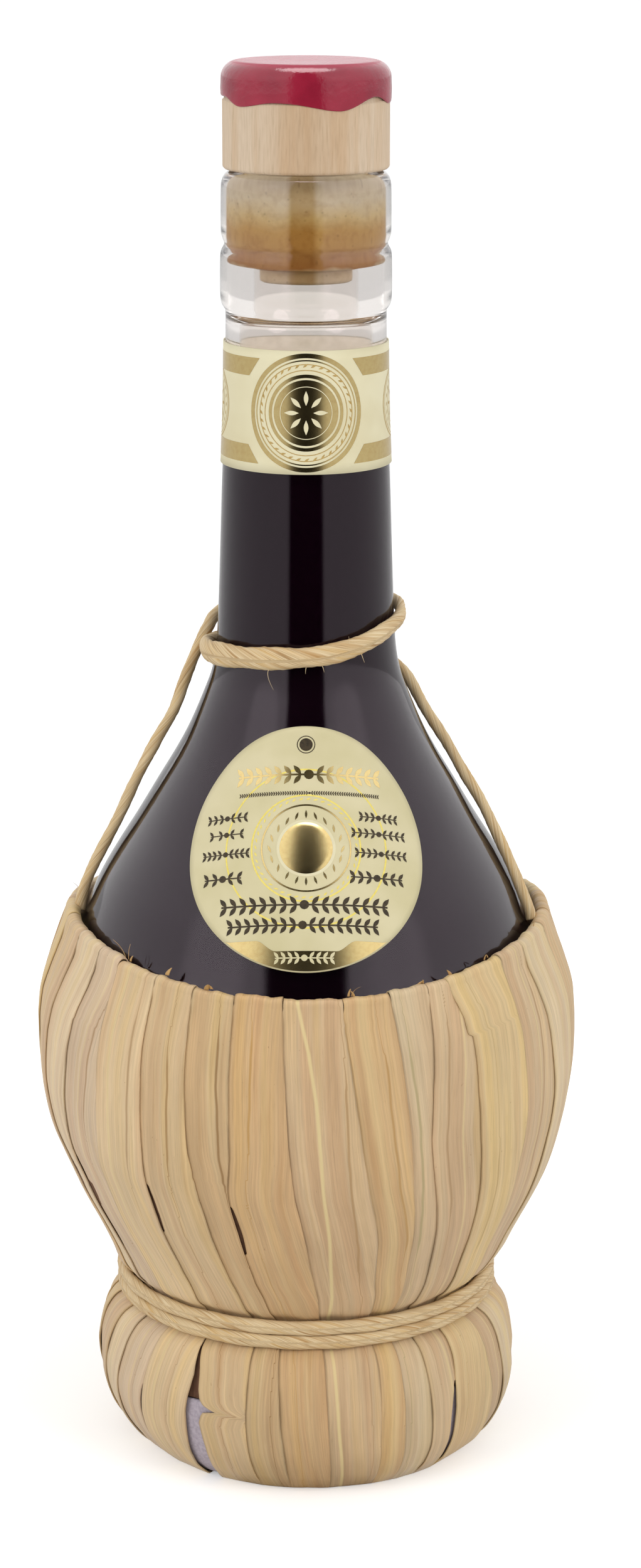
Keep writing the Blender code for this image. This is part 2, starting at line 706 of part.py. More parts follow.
def waist_cord_points():
    """Two level turns, with one climb at the back, and a straight end a cord's width long at each end."""
    turn = 360
    total = 2 * turn - WAIST_CLIMB_ANGLE
    count = round(total * WAIST_TURN_POINTS / turn)
    points = []
    for step in range(count + 1):
        angle = total * step / count
        climb = min(max((angle - turn + WAIST_CLIMB_ANGLE) / WAIST_CLIMB_ANGLE, 0), 1)
        climb = climb * climb * (3 - 2 * climb)
        height = WAIST_HEIGHT + WAIST_CORD_PITCH * (climb - 0.5)
        points.append(place(WAIST_CORD_START + angle, WAIST_RADIUS + WAIST_CORD_STANDOFF, height))
    first = points[0] + (points[0] - points[1]).normalized() * 2 * WAIST_CORD_RADIUS
    last = points[-1] + (points[-1] - points[-2]).normalized() * 2 * WAIST_CORD_RADIUS
    return [first, *points, last]


def least_self_gap(points, radius, apart):
    """The least gap between parts of a cord that are more than a few points apart along it."""
    nearest = min(
        (points[i] - points[j]).length
        for i in range(len(points))
        for j in range(i + apart, len(points))
    )
    return nearest - 2 * radius


def handle_spot(azimuth, standoffs, share):
    """The place of one point of the handle's route."""
    rim = RIM_FRONT_HEIGHT + RIM_SIDE_RISE
    height = rim + (NECK_FOOT_HEIGHT - rim) * share
    glass = shoulder_radius(height) if height < NECK_FOOT_HEIGHT else neck_radius(height)
    return place(azimuth, glass + HANDLE_STANDOFF * standoffs, height)


def smooth_route(knots, count):
    """Evenly spread points on a smooth curve through these points."""
    knots = [knots[0] * 2 - knots[1], *knots, knots[-1] * 2 - knots[-2]]
    fine = []
    for a, b, c, d in zip(knots, knots[1:], knots[2:], knots[3:]):
        for part in range(ROUTE_PARTS):
            s = part / ROUTE_PARTS
            fine.append(
                0.5 * (2 * b + (c - a) * s + (2 * a - 5 * b + 4 * c - d) * s * s
                       + (3 * b - a - 3 * c + d) * s * s * s)
            )
    fine.append(knots[-2])
    lengths = [0.0]
    for a, b in zip(fine, fine[1:]):
        lengths.append(lengths[-1] + (b - a).length)
    points = []
    index = 0
    for step in range(count):
        wanted = lengths[-1] * step / (count - 1)
        while index < len(fine) - 2 and lengths[index + 1] < wanted:
            index += 1
        share = (wanted - lengths[index]) / (lengths[index + 1] - lengths[index])
        points.append(fine[index].lerp(fine[index + 1], share))
    return points


def make_cords():
    """The cord wound twice round the waist and the cord that forms the handle."""
    waist = waist_cord_points()
    tube("waist_cord", waist, WAIST_CORD_RADIUS, 1, "cord")
    gap = least_self_gap(waist, WAIST_CORD_RADIUS, WAIST_TURN_POINTS // 2)
    print(f"least gap between the waist cord's turns: {gap * 1000:.2f} mm")
    handle = smooth_route([handle_spot(*spot) for spot in HANDLE_ROUTE_SHARES], HANDLE_CORD_POINTS)
    tube("handle_cord", handle, HANDLE_CORD_RADIUS, 2, "cord")
    gap = least_self_gap(handle, HANDLE_CORD_RADIUS, STRAND_POINTS_APART)
    print(f"least gap between the handle cord's strands: {gap * 1000:.2f} mm")


def main():
    clear_scene()
    make_glass()
    make_fill()
    make_stopper()
    make_neck_label()
    make_body_label()
    make_base_band()
    make_rim_hoop()
    edges = edge_azimuths()
    for number in range(LEAF_COUNT):
        make_leaf(number, edges)
    make_cords()


main()
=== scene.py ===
"""A straw covered bottle of dark vinegar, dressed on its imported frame.

Lengths are in metres, +Z is up and the front faces -Y. Tables of outlines are in millimetres, and say so.
An azimuth is counted from the front and grows towards +X.
"""

import math

import bpy
import numpy as np
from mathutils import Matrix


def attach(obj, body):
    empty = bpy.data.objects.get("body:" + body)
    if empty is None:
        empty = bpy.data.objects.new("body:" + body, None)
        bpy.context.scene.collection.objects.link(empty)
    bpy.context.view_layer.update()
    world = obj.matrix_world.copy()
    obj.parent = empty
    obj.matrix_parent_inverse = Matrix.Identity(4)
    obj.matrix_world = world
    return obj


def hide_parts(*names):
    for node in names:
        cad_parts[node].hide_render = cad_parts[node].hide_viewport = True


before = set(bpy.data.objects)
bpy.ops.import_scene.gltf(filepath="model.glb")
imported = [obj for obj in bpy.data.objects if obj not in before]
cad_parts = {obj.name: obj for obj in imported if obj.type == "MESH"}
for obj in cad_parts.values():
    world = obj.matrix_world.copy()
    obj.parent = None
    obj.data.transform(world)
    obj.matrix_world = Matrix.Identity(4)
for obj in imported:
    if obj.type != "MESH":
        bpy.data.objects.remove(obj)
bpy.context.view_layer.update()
MM = 0.001
TURN = 2 * np.pi
AXIS = 0.00002  # the radius of the small ring that a turned piece starts or ends with, where a face closes it

# The glass's outside, from the rim of its foot to the top of its lip: radius and height in mm
GLASS_MM = (
    (17.88, 1.0), (22.5, 1.9), (26.51, 4.0), (29.06, 7.9), (30.19, 13.9), (30.4, 19.9), (29.8, 31.0), (30.6, 33.7),
    (32.79, 36.0), (36.61, 43.0), (41.31, 52.07), (45.0, 61.87), (46.64, 71.18), (46.9, 80.0), (46.6, 85.0),
    (45.5, 90.02), (43.4, 95.02), (40.9, 100.03), (37.75, 106.98), (34.55, 112.61), (30.87, 118.5), (27.0, 125.01),
    (23.4, 131.02), (20.8, 136.03), (18.05, 142.6), (16.89, 146.0), (16.19, 150.02), (15.85, 154.99), (15.5, 163.98),
    (14.98, 179.99), (14.55, 190.0), (14.28, 200.01), (14.2, 209.6), (14.3, 210.7), (14.85, 211.6), (15.12, 213.5),
    (15.1, 219.3), (14.95, 220.8), (14.45, 221.8), (14.35, 222.3), (14.75, 223.3), (14.95, 224.8), (14.92, 231.5),
    (14.68, 233.28), (14.1, 234.3), (13.3, 234.8),
)
# The glass's inside, from its floor to the top of its bore
INSIDE_MM = (
    (24.2, 5.0), (26.4, 6.6), (27.17, 14.41), (26.78, 31.8), (30.18, 37.47), (38.51, 53.19), (43.64, 71.59),
    (43.6, 84.57), (40.83, 94.04), (36.13, 105.61), (29.08, 116.88), (20.78, 129.55), (15.16, 141.6), (13.21, 149.57),
    (12.3, 163.86), (11.8, 189.94), (11.65, 207.2), (10.6, 209.6), (9.25, 210.7), (9.25, 222.0), (9.25, 234.2),
    (9.6, 234.75),
)
FILL_HEIGHT = 0.192
# The straw's outside, from the rim of its flat foot up to the fold
STRAW_MM = (
    (30.4, 0.0), (32.3, 1.53), (34.79, 3.96), (37.3, 8.1), (38.4, 13.0), (38.4, 18.0), (37.55, 23.2), (35.84, 26.45),
    (33.3, 28.4), (32.3, 31.0), (33.2, 33.7), (35.69, 36.2), (39.02, 43.0), (43.61, 52.07), (47.17, 61.87),
    (48.76, 71.18), (49.1, 80.0), (48.85, 86.2), (48.42, 89.0), (47.59, 92.0), (46.57, 95.0), (45.5, 98.0),
    (44.71, 100.0), (43.88, 102.0),
)
# The rim's height in front and how much higher it is at the sides, the radius of its fold, and the foot's place
RIM_FRONT, RIM_RISE, RIM_BEND = 0.0973, 0.0047, 0.00105
FOOT_SHIFT = (0.0009, -0.0008)

# Each front leaf edge: its azimuth at each of STATIONS from the rim down, and whether the leaf right of it is on top
FRONT_EDGES = (
    (-66.5, -76.0, -74.5, -72.5, -70.5, -68.0, -75.5, False), (-56.3, -62.6, -64.0, -63.7, -62.0, -58.0, -65.0, False),
    (-47.6, -49.4, -51.6, -52.0, -50.3, -46.5, -51.7, True), (-35.7, -36.5, -37.3, -37.4, -35.8, -32.0, -31.8, False),
    (-24.9, -24.5, -24.0, -23.4, -21.2, -16.0, -16.4, False), (-15.8, -15.8, -17.0, -16.2, -14.2, -8.5, -6.4, False),
    (-5.0, -3.5, -2.3, -0.8, 1.5, 5.0, 6.1, False), (7.3, 11.5, 14.0, 16.0, 17.6, 20.5, 20.4, False),
    (18.4, 22.0, 23.6, 24.9, 26.3, 26.8, 27.7, False), (27.5, 26.6, 28.8, 30.9, 33.2, 34.0, 36.7, True),
    (35.8, 38.8, 41.0, 42.0, 44.2, 45.5, 44.6, True), (49.5, 53.7, 53.8, 54.0, 55.5, 57.7, 62.4, False),
    (58.8, 66.5, 66.5, 66.4, 66.3, 66.3, 71.2, True),
)
STATIONS = (0.0120, 0.0310, 0.0420, 0.0520, 0.0610, 0.0720, 0.0973)
LEAF_COUNT = 30
LEVEL_STEP = 0.00032  # how far a leaf sinks where its neighbour is on top
# Small steps in an edge where a leaf was folded over: edge, height in mm, how far up it reaches, its size in degrees
EDGE_STEPS = ((10, 89.6, 9.0, -3.1), (4, 64.0, 5.0, -0.8), (7, 93.0, 4.0, 0.7), (1, 88.0, 6.0, 0.9))
# Slits where two leaves part: edge, lowest and highest height, and width, in mm
SLITS = (
    (2, 5, 17.5, 0.7), (10, 3, 19, 0.75), (3, 51, 60.6, 0.5), (5, 49, 59, 0.6), (2, 45, 65, 0.3), (1, 42, 60, 0.3),
    (17, 46, 58, 0.6), (21, 3, 18, 0.6), (26, 50, 60, 0.5),
)
# The hole where the fourth leaf is torn at the base: height in mm, and the azimuths of its two sides in degrees
TORN_LEFT, TORN_RIGHT = 2, 3
TORN_HOLE = (
    (0.0, -37.4, -31.6), (2.7, -36.9, -31.1), (5.8, -35.9, -30.3), (8.6, -35.2, -29.8), (11.0, -34.7, -30.0),
    (13.7, -34.4, -30.4), (15.2, -34.3, -29.6), (15.9, -34.2, -28.9), (16.15, -34.1, -24.4), (16.5, -34.0, -26.6),
    (17.2, -33.9, -28.9), (18.2, -33.6, -30.0), (19.9, -33.0, -30.5), (22.5, -32.2, -30.7), (23.8, -32.3, -30.9),
    (27.7, -32.6, -32.4), (33.0, -32.4, -32.4),
)
# Leaves, left to right: colour, the pale rib's place across the leaf, its strength, that of the streaks, the rib's width
LEAF_LOOKS = (
    ("#CBB08C", 0.50, 0.25, 0.25, 1.0), ("#D9C29F", 0.30, 0.20, 0.15, 2.0), ("#CDB597", 0.45, 0.35, 0.35, 1.0),
    ("#D2B891", 0.30, 0.40, 0.25, 1.6), ("#C9AE87", 0.30, 0.10, 0.45, 1.0), ("#C5AA81", 0.40, 0.00, 0.50, 1.0),
    ("#C6A57A", 0.60, 0.10, 0.60, 2.5), ("#C6AA85", 0.37, 0.75, 0.30, 1.6), ("#C8A87C", 0.36, 0.22, 0.45, 5.0),
    ("#CCB693", 0.50, 0.10, 0.30, 1.5), ("#C8AE8A", 0.62, 0.45, 0.35, 1.2), ("#D0B689", 0.60, 0.10, 0.20, 1.0),
    ("#C8AE8A", 0.45, 0.50, 0.35, 1.0), ("#D2BC98", 0.50, 0.30, 0.15, 2.0), ("#CCB188", 0.35, 0.30, 0.35, 1.5),
    ("#C0A27A", 0.55, 0.10, 0.55, 1.0), ("#D0B88E", 0.42, 0.60, 0.20, 1.3), ("#C6A884", 0.50, 0.20, 0.40, 1.0),
)
# The pale rib of the middle leaf, which crosses it: height in mm and azimuth
MIDDLE_LEAF = 6
MIDDLE_RIB = ((0, 9.9), (26, 7.9), (46.6, 5.3), (58, 4.1), (69.4, 3.1), (80, 2.1), (89, 0.5), (97, -1.8))
# Thin splits and stains that run along a leaf: leaf, place across it, lowest and highest height in mm, and colour
SPLITS = (
    (1, 0.62, 66, 94, "#A4835E"), (2, 0.72, 60, 97, "#A88962"), (3, 0.55, 61, 91, "#9A7748"),
    (4, 0.80, 58, 96, "#8A683C"), (5, 0.33, 66, 96, "#B58C50"), (6, 0.80, 40, 88, "#A9875C"),
    (7, 0.66, 44, 92, "#B08A54"), (8, 0.42, 44, 93, "#A8986E"), (9, 0.28, 50, 97, "#A68760"),
    (10, 0.34, 40, 70, "#B49662"), (11, 0.56, 52, 98, "#A4825A"), (14, 0.40, 50, 90, "#A8895E"),
    (17, 0.66, 40, 84, "#9A7A4C"), (20, 0.35, 56, 96, "#A88A60"), (23, 0.60, 48, 92, "#B08C54"),
    (27, 0.44, 60, 95, "#9C7B50"),
)
NO_SPLIT, PLAIN_MARK = 9.0, "#9A7748"  # a distance in mm at which no split shows, and the colour it would have


def linear(code):
    """Turn an sRGB hex colour to the linear values that the shaders take."""
    parts = [int(code[i:i + 2], 16) / 255 for i in (1, 3, 5)]
    return (*[c / 12.92 if c <= 0.04045 else ((c + 0.055) / 1.055) ** 2.4 for c in parts], 1.0)


def give(owner, node, inputs):
    """Give a node's sockets, by name or in their order, a value, a hex colour or another node's output."""
    for name, value in inputs.items() if isinstance(inputs, dict) else enumerate(inputs):
        if isinstance(value, bpy.types.NodeSocket):
            owner.node_tree.links.new(value, node.inputs[name])
        else:
            node.inputs[name].default_value = linear(value) if isinstance(value, str) else value


def add(owner, kind, inputs=(), out=0, **settings):
    """Add a node with its settings to a material or world. It returns the output asked for, or all of them for None."""
    made = owner.node_tree.nodes.new("ShaderNode" + kind)
    for name, value in settings.items():
        setattr(made, name, value)
    give(owner, made, inputs)
    return made.outputs if out is None else made.outputs[out]


def ramp(owner, factor, stops):
    """Add a colour ramp over this factor, with (place, hex colour or grey) stops."""
    colour = add(owner, "ValToRGB", {"Fac": factor})
    band = colour.node.color_ramp.elements
    while len(band) < len(stops):
        band.new(1.0)
    for element, (at, shade) in zip(band, stops):
        element.position = at
        element.color = linear(shade) if isinstance(shade, str) else (shade, shade, shade, 1)
    return colour


def pattern(owner, scale, detail, spot=None, **more):
    """A noise with scale cells per unit, or so many along each axis, over object space or these places."""
    spot = add(owner, "TexCoord", out="Object") if spot is None else spot
    spot = add(owner, "Mapping", {"Vector": spot, "Scale": scale if isinstance(scale, tuple) else (scale,) * 3})
    return add(owner, "TexNoise", {"Vector": spot, "Scale": 1.0, "Detail": detail, **more})


def new_material(name):
    """A new material with its Principled shader."""
    made = bpy.data.materials.new(name)
    made.use_nodes = True
    return made


def finish(made, **inputs):
    """Give the material's Principled shader these sockets, with _ for a space in their names, and return it."""
    shader = made.node_tree.nodes["Principled BSDF"]
    give(made, shader, {name.replace("_", " "): value for name, value in inputs.items()})
    return made


def grained(name, scale, detail, stops, relief=None, **inputs):
    """A material whose colour follows one pattern. relief makes a bump of it: its strength and depth."""
    made = new_material(name)
    grain = pattern(made, scale, detail)
    colour = ramp(made, grain, stops)
    if relief:
        inputs["Normal"] = add(made, "Bump", {"Height": grain, "Strength": relief[0], "Distance": relief[1]})
    if "Emission_Strength" in inputs:
        inputs["Emission_Color"] = colour
    return finish(made, Base_Color=colour, **inputs)


def smoothstep(low, high, x):
    """0 at low and beyond, 1 at high and beyond, and an S curve between. low may be the larger."""
    t = np.clip((x - low) / (high - low), 0, 1)
    return t * t * (3 - 2 * t)


def wander(x, seed, scale):
    """A smooth sum of five sines of x in -1..1, at about this scale, fixed by the seed."""
    rng = np.random.default_rng(int(seed))
    total = np.zeros_like(np.asarray(x, float))
    for octave in range(5):
        phase, stretch = rng.uniform(0, TURN), rng.uniform(0.8, 1.25)
        total = total + np.sin(TURN * x / scale * stretch * 1.7 ** octave + phase) / 1.5 ** octave
    return total / 2.6


def unit(ways):
    """These directions at length one."""
    return ways / np.linalg.norm(ways, axis=1, keepdims=True)


def run_along(line):
    """How far along a line each of its points is."""
    return np.concatenate([[0], np.cumsum(np.linalg.norm(np.diff(line, axis=0), axis=1))])


def around(count):
    """This many azimuths evenly round the whole turn, in radians."""
    return np.linspace(0, TURN, count, endpoint=False)


def smooth_line(points, count):
    """A Catmull-Rom curve through these points, at count places evenly along it. It loses no end point."""
    knots = np.asarray(points, float)
    knots = np.vstack([2 * knots[0] - knots[1], knots, 2 * knots[-1] - knots[-2]])
    a, b, c, d = (knots[i:len(knots) - 3 + i, None, :] for i in range(4))
    s = np.linspace(0, 1, 24, endpoint=False)[None, :, None]
    fine = 0.5 * (2 * b + (c - a) * s + (2 * a - 5 * b + 4 * c - d) * s ** 2 + (3 * b - a - 3 * c + d) * s ** 3)
    fine = np.vstack([fine.reshape(-1, knots.shape[1]), knots[-2]])
    run = run_along(fine)
    wanted = np.linspace(0, run[-1], count)
    return np.stack([np.interp(wanted, run, fine[:, i]) for i in range(fine.shape[1])], axis=1)


def place(azimuth, radius, height):
    """Points at these azimuths in radians, distances from the axis and heights."""
    azimuth, radius, height = np.broadcast_arrays(azimuth, radius, height)
    return np.stack([radius * np.sin(azimuth), -radius * np.cos(azimuth), height], axis=-1)


def shift_foot(points):
    """Move the points near the floor as the wrapped foot stands off the axis."""
    points[..., :2] += FOOT_SHIFT * (1 - smoothstep(0.0, 0.016, points[..., 2:3]))
    return points


def straw_radius(height):
    """The straw's smooth outer radius at these heights."""
    line = smooth_line(STRAW_MM, 900) * MM
    return np.interp(height, line[:, 1], line[:, 0])


def grid_faces(rows, columns, wrap_columns=False, wrap_rows=False):
    """The quads of a grid of points, optionally joined round its columns or its rows."""
    i = np.arange(rows if wrap_rows else rows - 1)[:, None]
    j = np.arange(columns if wrap_columns else columns - 1)[None, :]
    ahead, beside = (i + 1) % rows, (j + 1) % columns
    corners = [i * columns + j, i * columns + beside, ahead * columns + beside, ahead * columns + j]
    return np.stack([np.broadcast_to(c, (i.size, j.size)).ravel() for c in corners], axis=1)


def end_caps(rows, columns, start=0):
    """The two faces that close the first and the last ring of a tube whose points begin at start."""
    last = start + (rows - 1) * columns
    return [tuple(range(start + columns - 1, start - 1, -1)), tuple(range(last, last + columns))]


def join_parts(parts):
    """Join (points, faces) parts to one list of points and one of faces."""
    starts = np.cumsum([0] + [len(points) for points, _ in parts[:-1]])
    return np.vstack([points for points, _ in parts]), np.vstack([f + s for (_, f), s in zip(parts, starts)])


def make_piece(name, verts, faces, material, slot, replaces=(), uv=None, values=None, extra=(), body="bottle"):
    """Put points and faces in a mesh, with a UV pair and named values for each point, and let it ride on a body."""
    mesh = bpy.data.meshes.new(name)
    mesh.from_pydata(np.reshape(verts, (-1, 3)).tolist(), [], [*np.asarray(faces).tolist(), *extra])
    mesh.polygons.foreach_set("use_smooth", np.full(len(mesh.polygons), True))
    if uv is not None:
        loops = np.empty(len(mesh.loops), np.int32)
        mesh.loops.foreach_get("vertex_index", loops)
        mesh.uv_layers.new(name="UVMap").data.foreach_set("uv", np.reshape(uv, (-1, 2))[loops].ravel())
    for key, value in (values or {}).items():
        kind, field = ("FLOAT_COLOR", "color") if np.shape(value)[-1] == 4 else ("FLOAT", "value")
        mesh.attributes.new(key, kind, "POINT").data.foreach_set(field, np.ravel(value).astype(np.float32))
    mesh.materials.append(material)
    mesh.validate()
    mesh.update()
    thing = bpy.data.objects.new(name, mesh)
    bpy.context.scene.collection.objects.link(thing)
    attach(thing, body)
    if replaces:
        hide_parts(*replaces)
    return thing


def make_turned(name, profile, material, slot, node, body="bottle", steps=160, shift=None):
    """Turn a (radius, height) outline about the axis, with a face over its first and its last ring.

    shift lifts each point by a height worked out from its azimuth and its place along the outline.
    """
    profile = np.asarray(profile, float)
    azimuth = around(steps)[None, :]
    height = profile[:, 1:2] + (shift(azimuth, profile) if shift else 0)
    points, faces = place(azimuth, profile[:, 0:1], height), grid_faces(len(profile), steps, wrap_columns=True)
    make_piece(name, points, faces, material, slot, (node,), extra=end_caps(len(profile), steps), body=body)


# Camera: it looks down on the bottle by 14.6 degrees from 0.7 m
lens = bpy.data.cameras.new("camera")
lens.lens = 87.3
lens.sensor_width = 36
lens.shift_x = 0.0092
lens.clip_start = 0.05
camera = bpy.data.objects.new("camera", lens)
camera.location = (0, -0.6686, 0.2983)
camera.rotation_euler = (math.radians(90 - 14.6), 0, 0)
bpy.context.scene.collection.objects.link(camera)
bpy.context.scene.camera = camera
bpy.context.scene.view_settings.view_transform = "Standard"

# The handle's middle line, fitted to the photo: azimuth, distance from the axis and height in mm
HANDLE_ROUTE = (
    (-86.5, 41.4, 101.2), (-87, 41.0, 103.4), (-88, 40.1, 106.2), (-89, 38.1, 110.5), (-90, 34.3, 117.7),
    (-91, 30.9, 125.0), (-92, 27.2, 132.1), (-94, 24.1, 137.5), (-98, 22.4, 142.4), (-101, 21.6, 144.8),
    (-104, 20.8, 147.2), (-108, 19.9, 149.9), (-114, 19.4, 151.9), (-122, 19.5, 153.4), (-135, 18.9, 155.0),
    (-155, 17.7, 156.4), (-180, 17.3, 157.0), (-220, 17.2, 157.2), (-250, 17.0, 157.0), (-270, 16.95, 156.5),
    (-285, 17.0, 155.8), (-300, 17.15, 155.2), (-315, 17.2, 154.1), (-330, 17.3, 153.0), (-345, 17.35, 152.1),
    (-360, 17.4, 151.6), (-375, 17.5, 151.3), (-390, 17.6, 151.0), (-405, 17.75, 150.7), (-420, 17.9, 150.4),
    (-435, 18.0, 150.1), (-450, 17.95, 150.0), (-465, 17.6, 149.9), (-480, 17.35, 149.6), (-510, 17.3, 150.2),
    (-540, 17.4, 150.2), (-565, 18.0, 148.6), (-580, 19.0, 146.4), (-592, 20.1, 144.2), (-602, 21.0, 142.0),
    (-614, 22.5, 137.0), (-621, 25.6, 131.6), (-625, 28.7, 126.0), (-629, 31.9, 120.8), (-633.5, 34.85, 115.2),
    (-637, 37.65, 109.9), (-639, 39.4, 106.3), (-640.5, 41.1, 102.7), (-641, 41.6, 100.9),
)
# The handle's half width and half depth in mm at these azimuths: it is thick and soft in front, thin and taut elsewhere
HANDLE_SIZES = (
    (-86, 1.05, 1.0), (-125, 1.1, 1.05), (-180, 1.3, 1.1), (-250, 1.2, 1.0), (-275, 1.25, 1.0), (-300, 1.5, 1.1),
    (-330, 1.75, 1.15), (-360, 1.85, 1.15), (-390, 2.0, 1.2), (-420, 2.1, 1.25), (-435, 2.05, 1.3), (-450, 1.75, 1.25),
    (-465, 1.4, 1.1), (-540, 1.3, 1.05), (-600, 1.1, 1.0), (-641, 1.0, 1.0),
)
# The handle's loose fibres: azimuth, height, the way each points, its length and its droop
HANDLE_HAIRS = (
    (32, 0.1518, (0.3, -0.5, -0.8), 0.0015, 0.3), (0, 0.1500, (-0.2, -0.4, -0.9), 0.0011, 0.2),
    (9, 0.1502, (0.3, -0.5, -0.7), 0.0009, 0.2), (-21, 0.1493, (-0.4, -0.5, -0.5), 0.0028, 0.6),
    (24, 0.1541, (0.2, -0.5, 0.8), 0.0010, 0.1), (-42, 0.1522, (-0.5, -0.6, 0.6), 0.0013, 0.2),
)


def raffia_material():
    """Twisted dry raffia: pale satin fibres along the twist, with a few darker ones between them.

    The cord's UV holds the angle round the twist and the length along it, in millimetres.
    """
    made = new_material("twisted_raffia")
    spot = add(made, "UVMap", uv_map="UVMap")
    fibres, strands = pattern(made, (6.5, 0.12, 1), 4.0, spot), pattern(made, (1.1, 0.05, 1), 2.0, spot)
    straw = ramp(made, fibres, ((0.3, "#A58861"), (0.42, "#CDB48B"), (0.56, "#D9C39C"), (0.72, "#E6D6B4")))
    warm = ramp(made, strands, ((0.3, "#DBC4A4"), (0.5, "#FFFFFF"), (0.7, "#F2E2C4")))
    colour = add(made, "MixRGB", (1.0, straw, warm), blend_type="MULTIPLY")
    bump = add(made, "Bump", {"Height": fibres, "Strength": 0.7, "Distance": 0.0001})
    return finish(made, Roughness=0.58, Specular_IOR_Level=0.3, Base_Color=colour, Normal=bump)


def make_cord(name, node, material, path, across, out, turns_per_mm, seed, sides=22, closed=False):
    """A twisted cord along a path that goes round the bottle.

    At each place its section is an oval, across high and out deep. The radius swells twice round the section, and in
    nine fine strands, all of which turn about the path as it goes. across, out and the path are in metres.
    """
    count = len(path)
    ahead = unit(np.roll(path, -1, axis=0) - np.roll(path, 1, axis=0) if closed else np.gradient(path, axis=0))
    radial = path * (1, 1, 0)
    radial = unit(radial - ahead * np.sum(radial * ahead, axis=1, keepdims=True))
    side = np.cross(ahead, radial)
    run = run_along(path)[:, None] / MM
    if closed:
        whole = run[-1, 0] * count / (count - 1)
        turns_per_mm = round(turns_per_mm * whole) / whole
    angle = around(sides)[None, :]
    twisted = angle - TURN * turns_per_mm * run
    swell = 1 + 0.045 * np.cos(2 * twisted + 0.4) + 0.03 * np.cos(9 * twisted) * (1 + wander(run, seed, 7))
    swell *= 1 + 0.04 * wander(run, seed + 1, 14)
    points = path[:, None] + (np.cos(angle) * np.reshape(out, (-1, 1)) * swell)[..., None] * radial[:, None]
    points += (np.sin(angle) * np.reshape(across, (-1, 1)) * swell)[..., None] * side[:, None]
    faces = grid_faces(count, sides, wrap_columns=True, wrap_rows=closed)
    uv = np.stack([twisted * 1.5, np.broadcast_to(run, twisted.shape)], axis=-1)
    make_piece(name, points, faces, material, "cord", (node,), uv, extra=() if closed else end_caps(count, sides))


def hair(azimuth, height, way, length, droop, seed, radius=0.00006):
    """One loose fibre of the handle: a tapering tube on a parabola that bends aside and down, as points and faces."""
    s = np.linspace(0, 1, 10)[:, None]
    bend = np.random.default_rng(seed).normal(0, 0.35, 3) + (0, 0, -droop)
    line = place(math.radians(azimuth), 0.0184, height) + length * (s * way + s ** 2 * bend)
    angle = around(5)[None, :, None]
    ring = np.cos(angle) * (1.0, 0, 0) + np.sin(angle) * (0, 0.7, 0.7)
    points = line[:, None] + ring * radius * (1 - 0.75 * s)[:, None]
    return points.reshape(-1, 3), grid_faces(10, 5, wrap_columns=True)


def make_cords():
    """The handle with its loose fibres, the cord round the waist, and the cord in the rim's fold."""
    raffia = raffia_material()
    azimuth, radius, height = np.array(HANDLE_ROUTE, float).T
    path = smooth_line(place(np.radians(azimuth), radius * MM, height * MM), 900)
    turned = -np.degrees(np.unwrap(np.arctan2(path[:, 0], -path[:, 1])))
    at, wide, deep = np.array(HANDLE_SIZES, float).T
    wide, deep = (np.interp(turned, -at, size) * MM for size in (wide, deep))
    make_cord("handle_raffia", "handle_cord", raffia, path, wide, deep, 0.045, 3)
    loose = [hair(*row, seed) for seed, row in enumerate(HANDLE_HAIRS)]
    make_piece("handle_fibres", *join_parts(loose), raffia, "cord")

    # Two level turns round the waist with one climb between them at the back, running on for a cord's width
    angle = np.linspace(-3.8, 663.8, 640)
    path = place(np.radians(185 + angle), 0.0343, 0.0310 + 0.0027 * (smoothstep(300, 360, angle) - 0.5))
    make_cord("waist_raffia", "waist_cord", raffia, path, 0.00131, 0.0010, 0.05, 8)
    azimuth = around(360)
    height = RIM_FRONT + RIM_RISE * np.sin(azimuth) ** 2 - RIM_BEND
    path = place(azimuth, straw_radius(height) - RIM_BEND, height)
    make_cord("rim_fold_cord", "rim_hoop", raffia, path, 0.0003, 0.0003, 0.1, 5, sides=10, closed=True)


make_cords()


def dark_gap(owner, x, y):
    """How bright the mirrored room is towards (x, y): black in front, white from 25 degrees beside it."""
    azimuth = add(owner, "Math", (x, add(owner, "Math", (y, -1.0), operation="MULTIPLY")), operation="ARCTAN2")
    off = add(owner, "Math", (azimuth,), operation="ABSOLUTE")
    ends = math.radians(19.5), math.radians(25.5)
    return add(owner, "MapRange", (off, *ends, 0.0, 1.25), interpolation_type="SMOOTHSTEP")


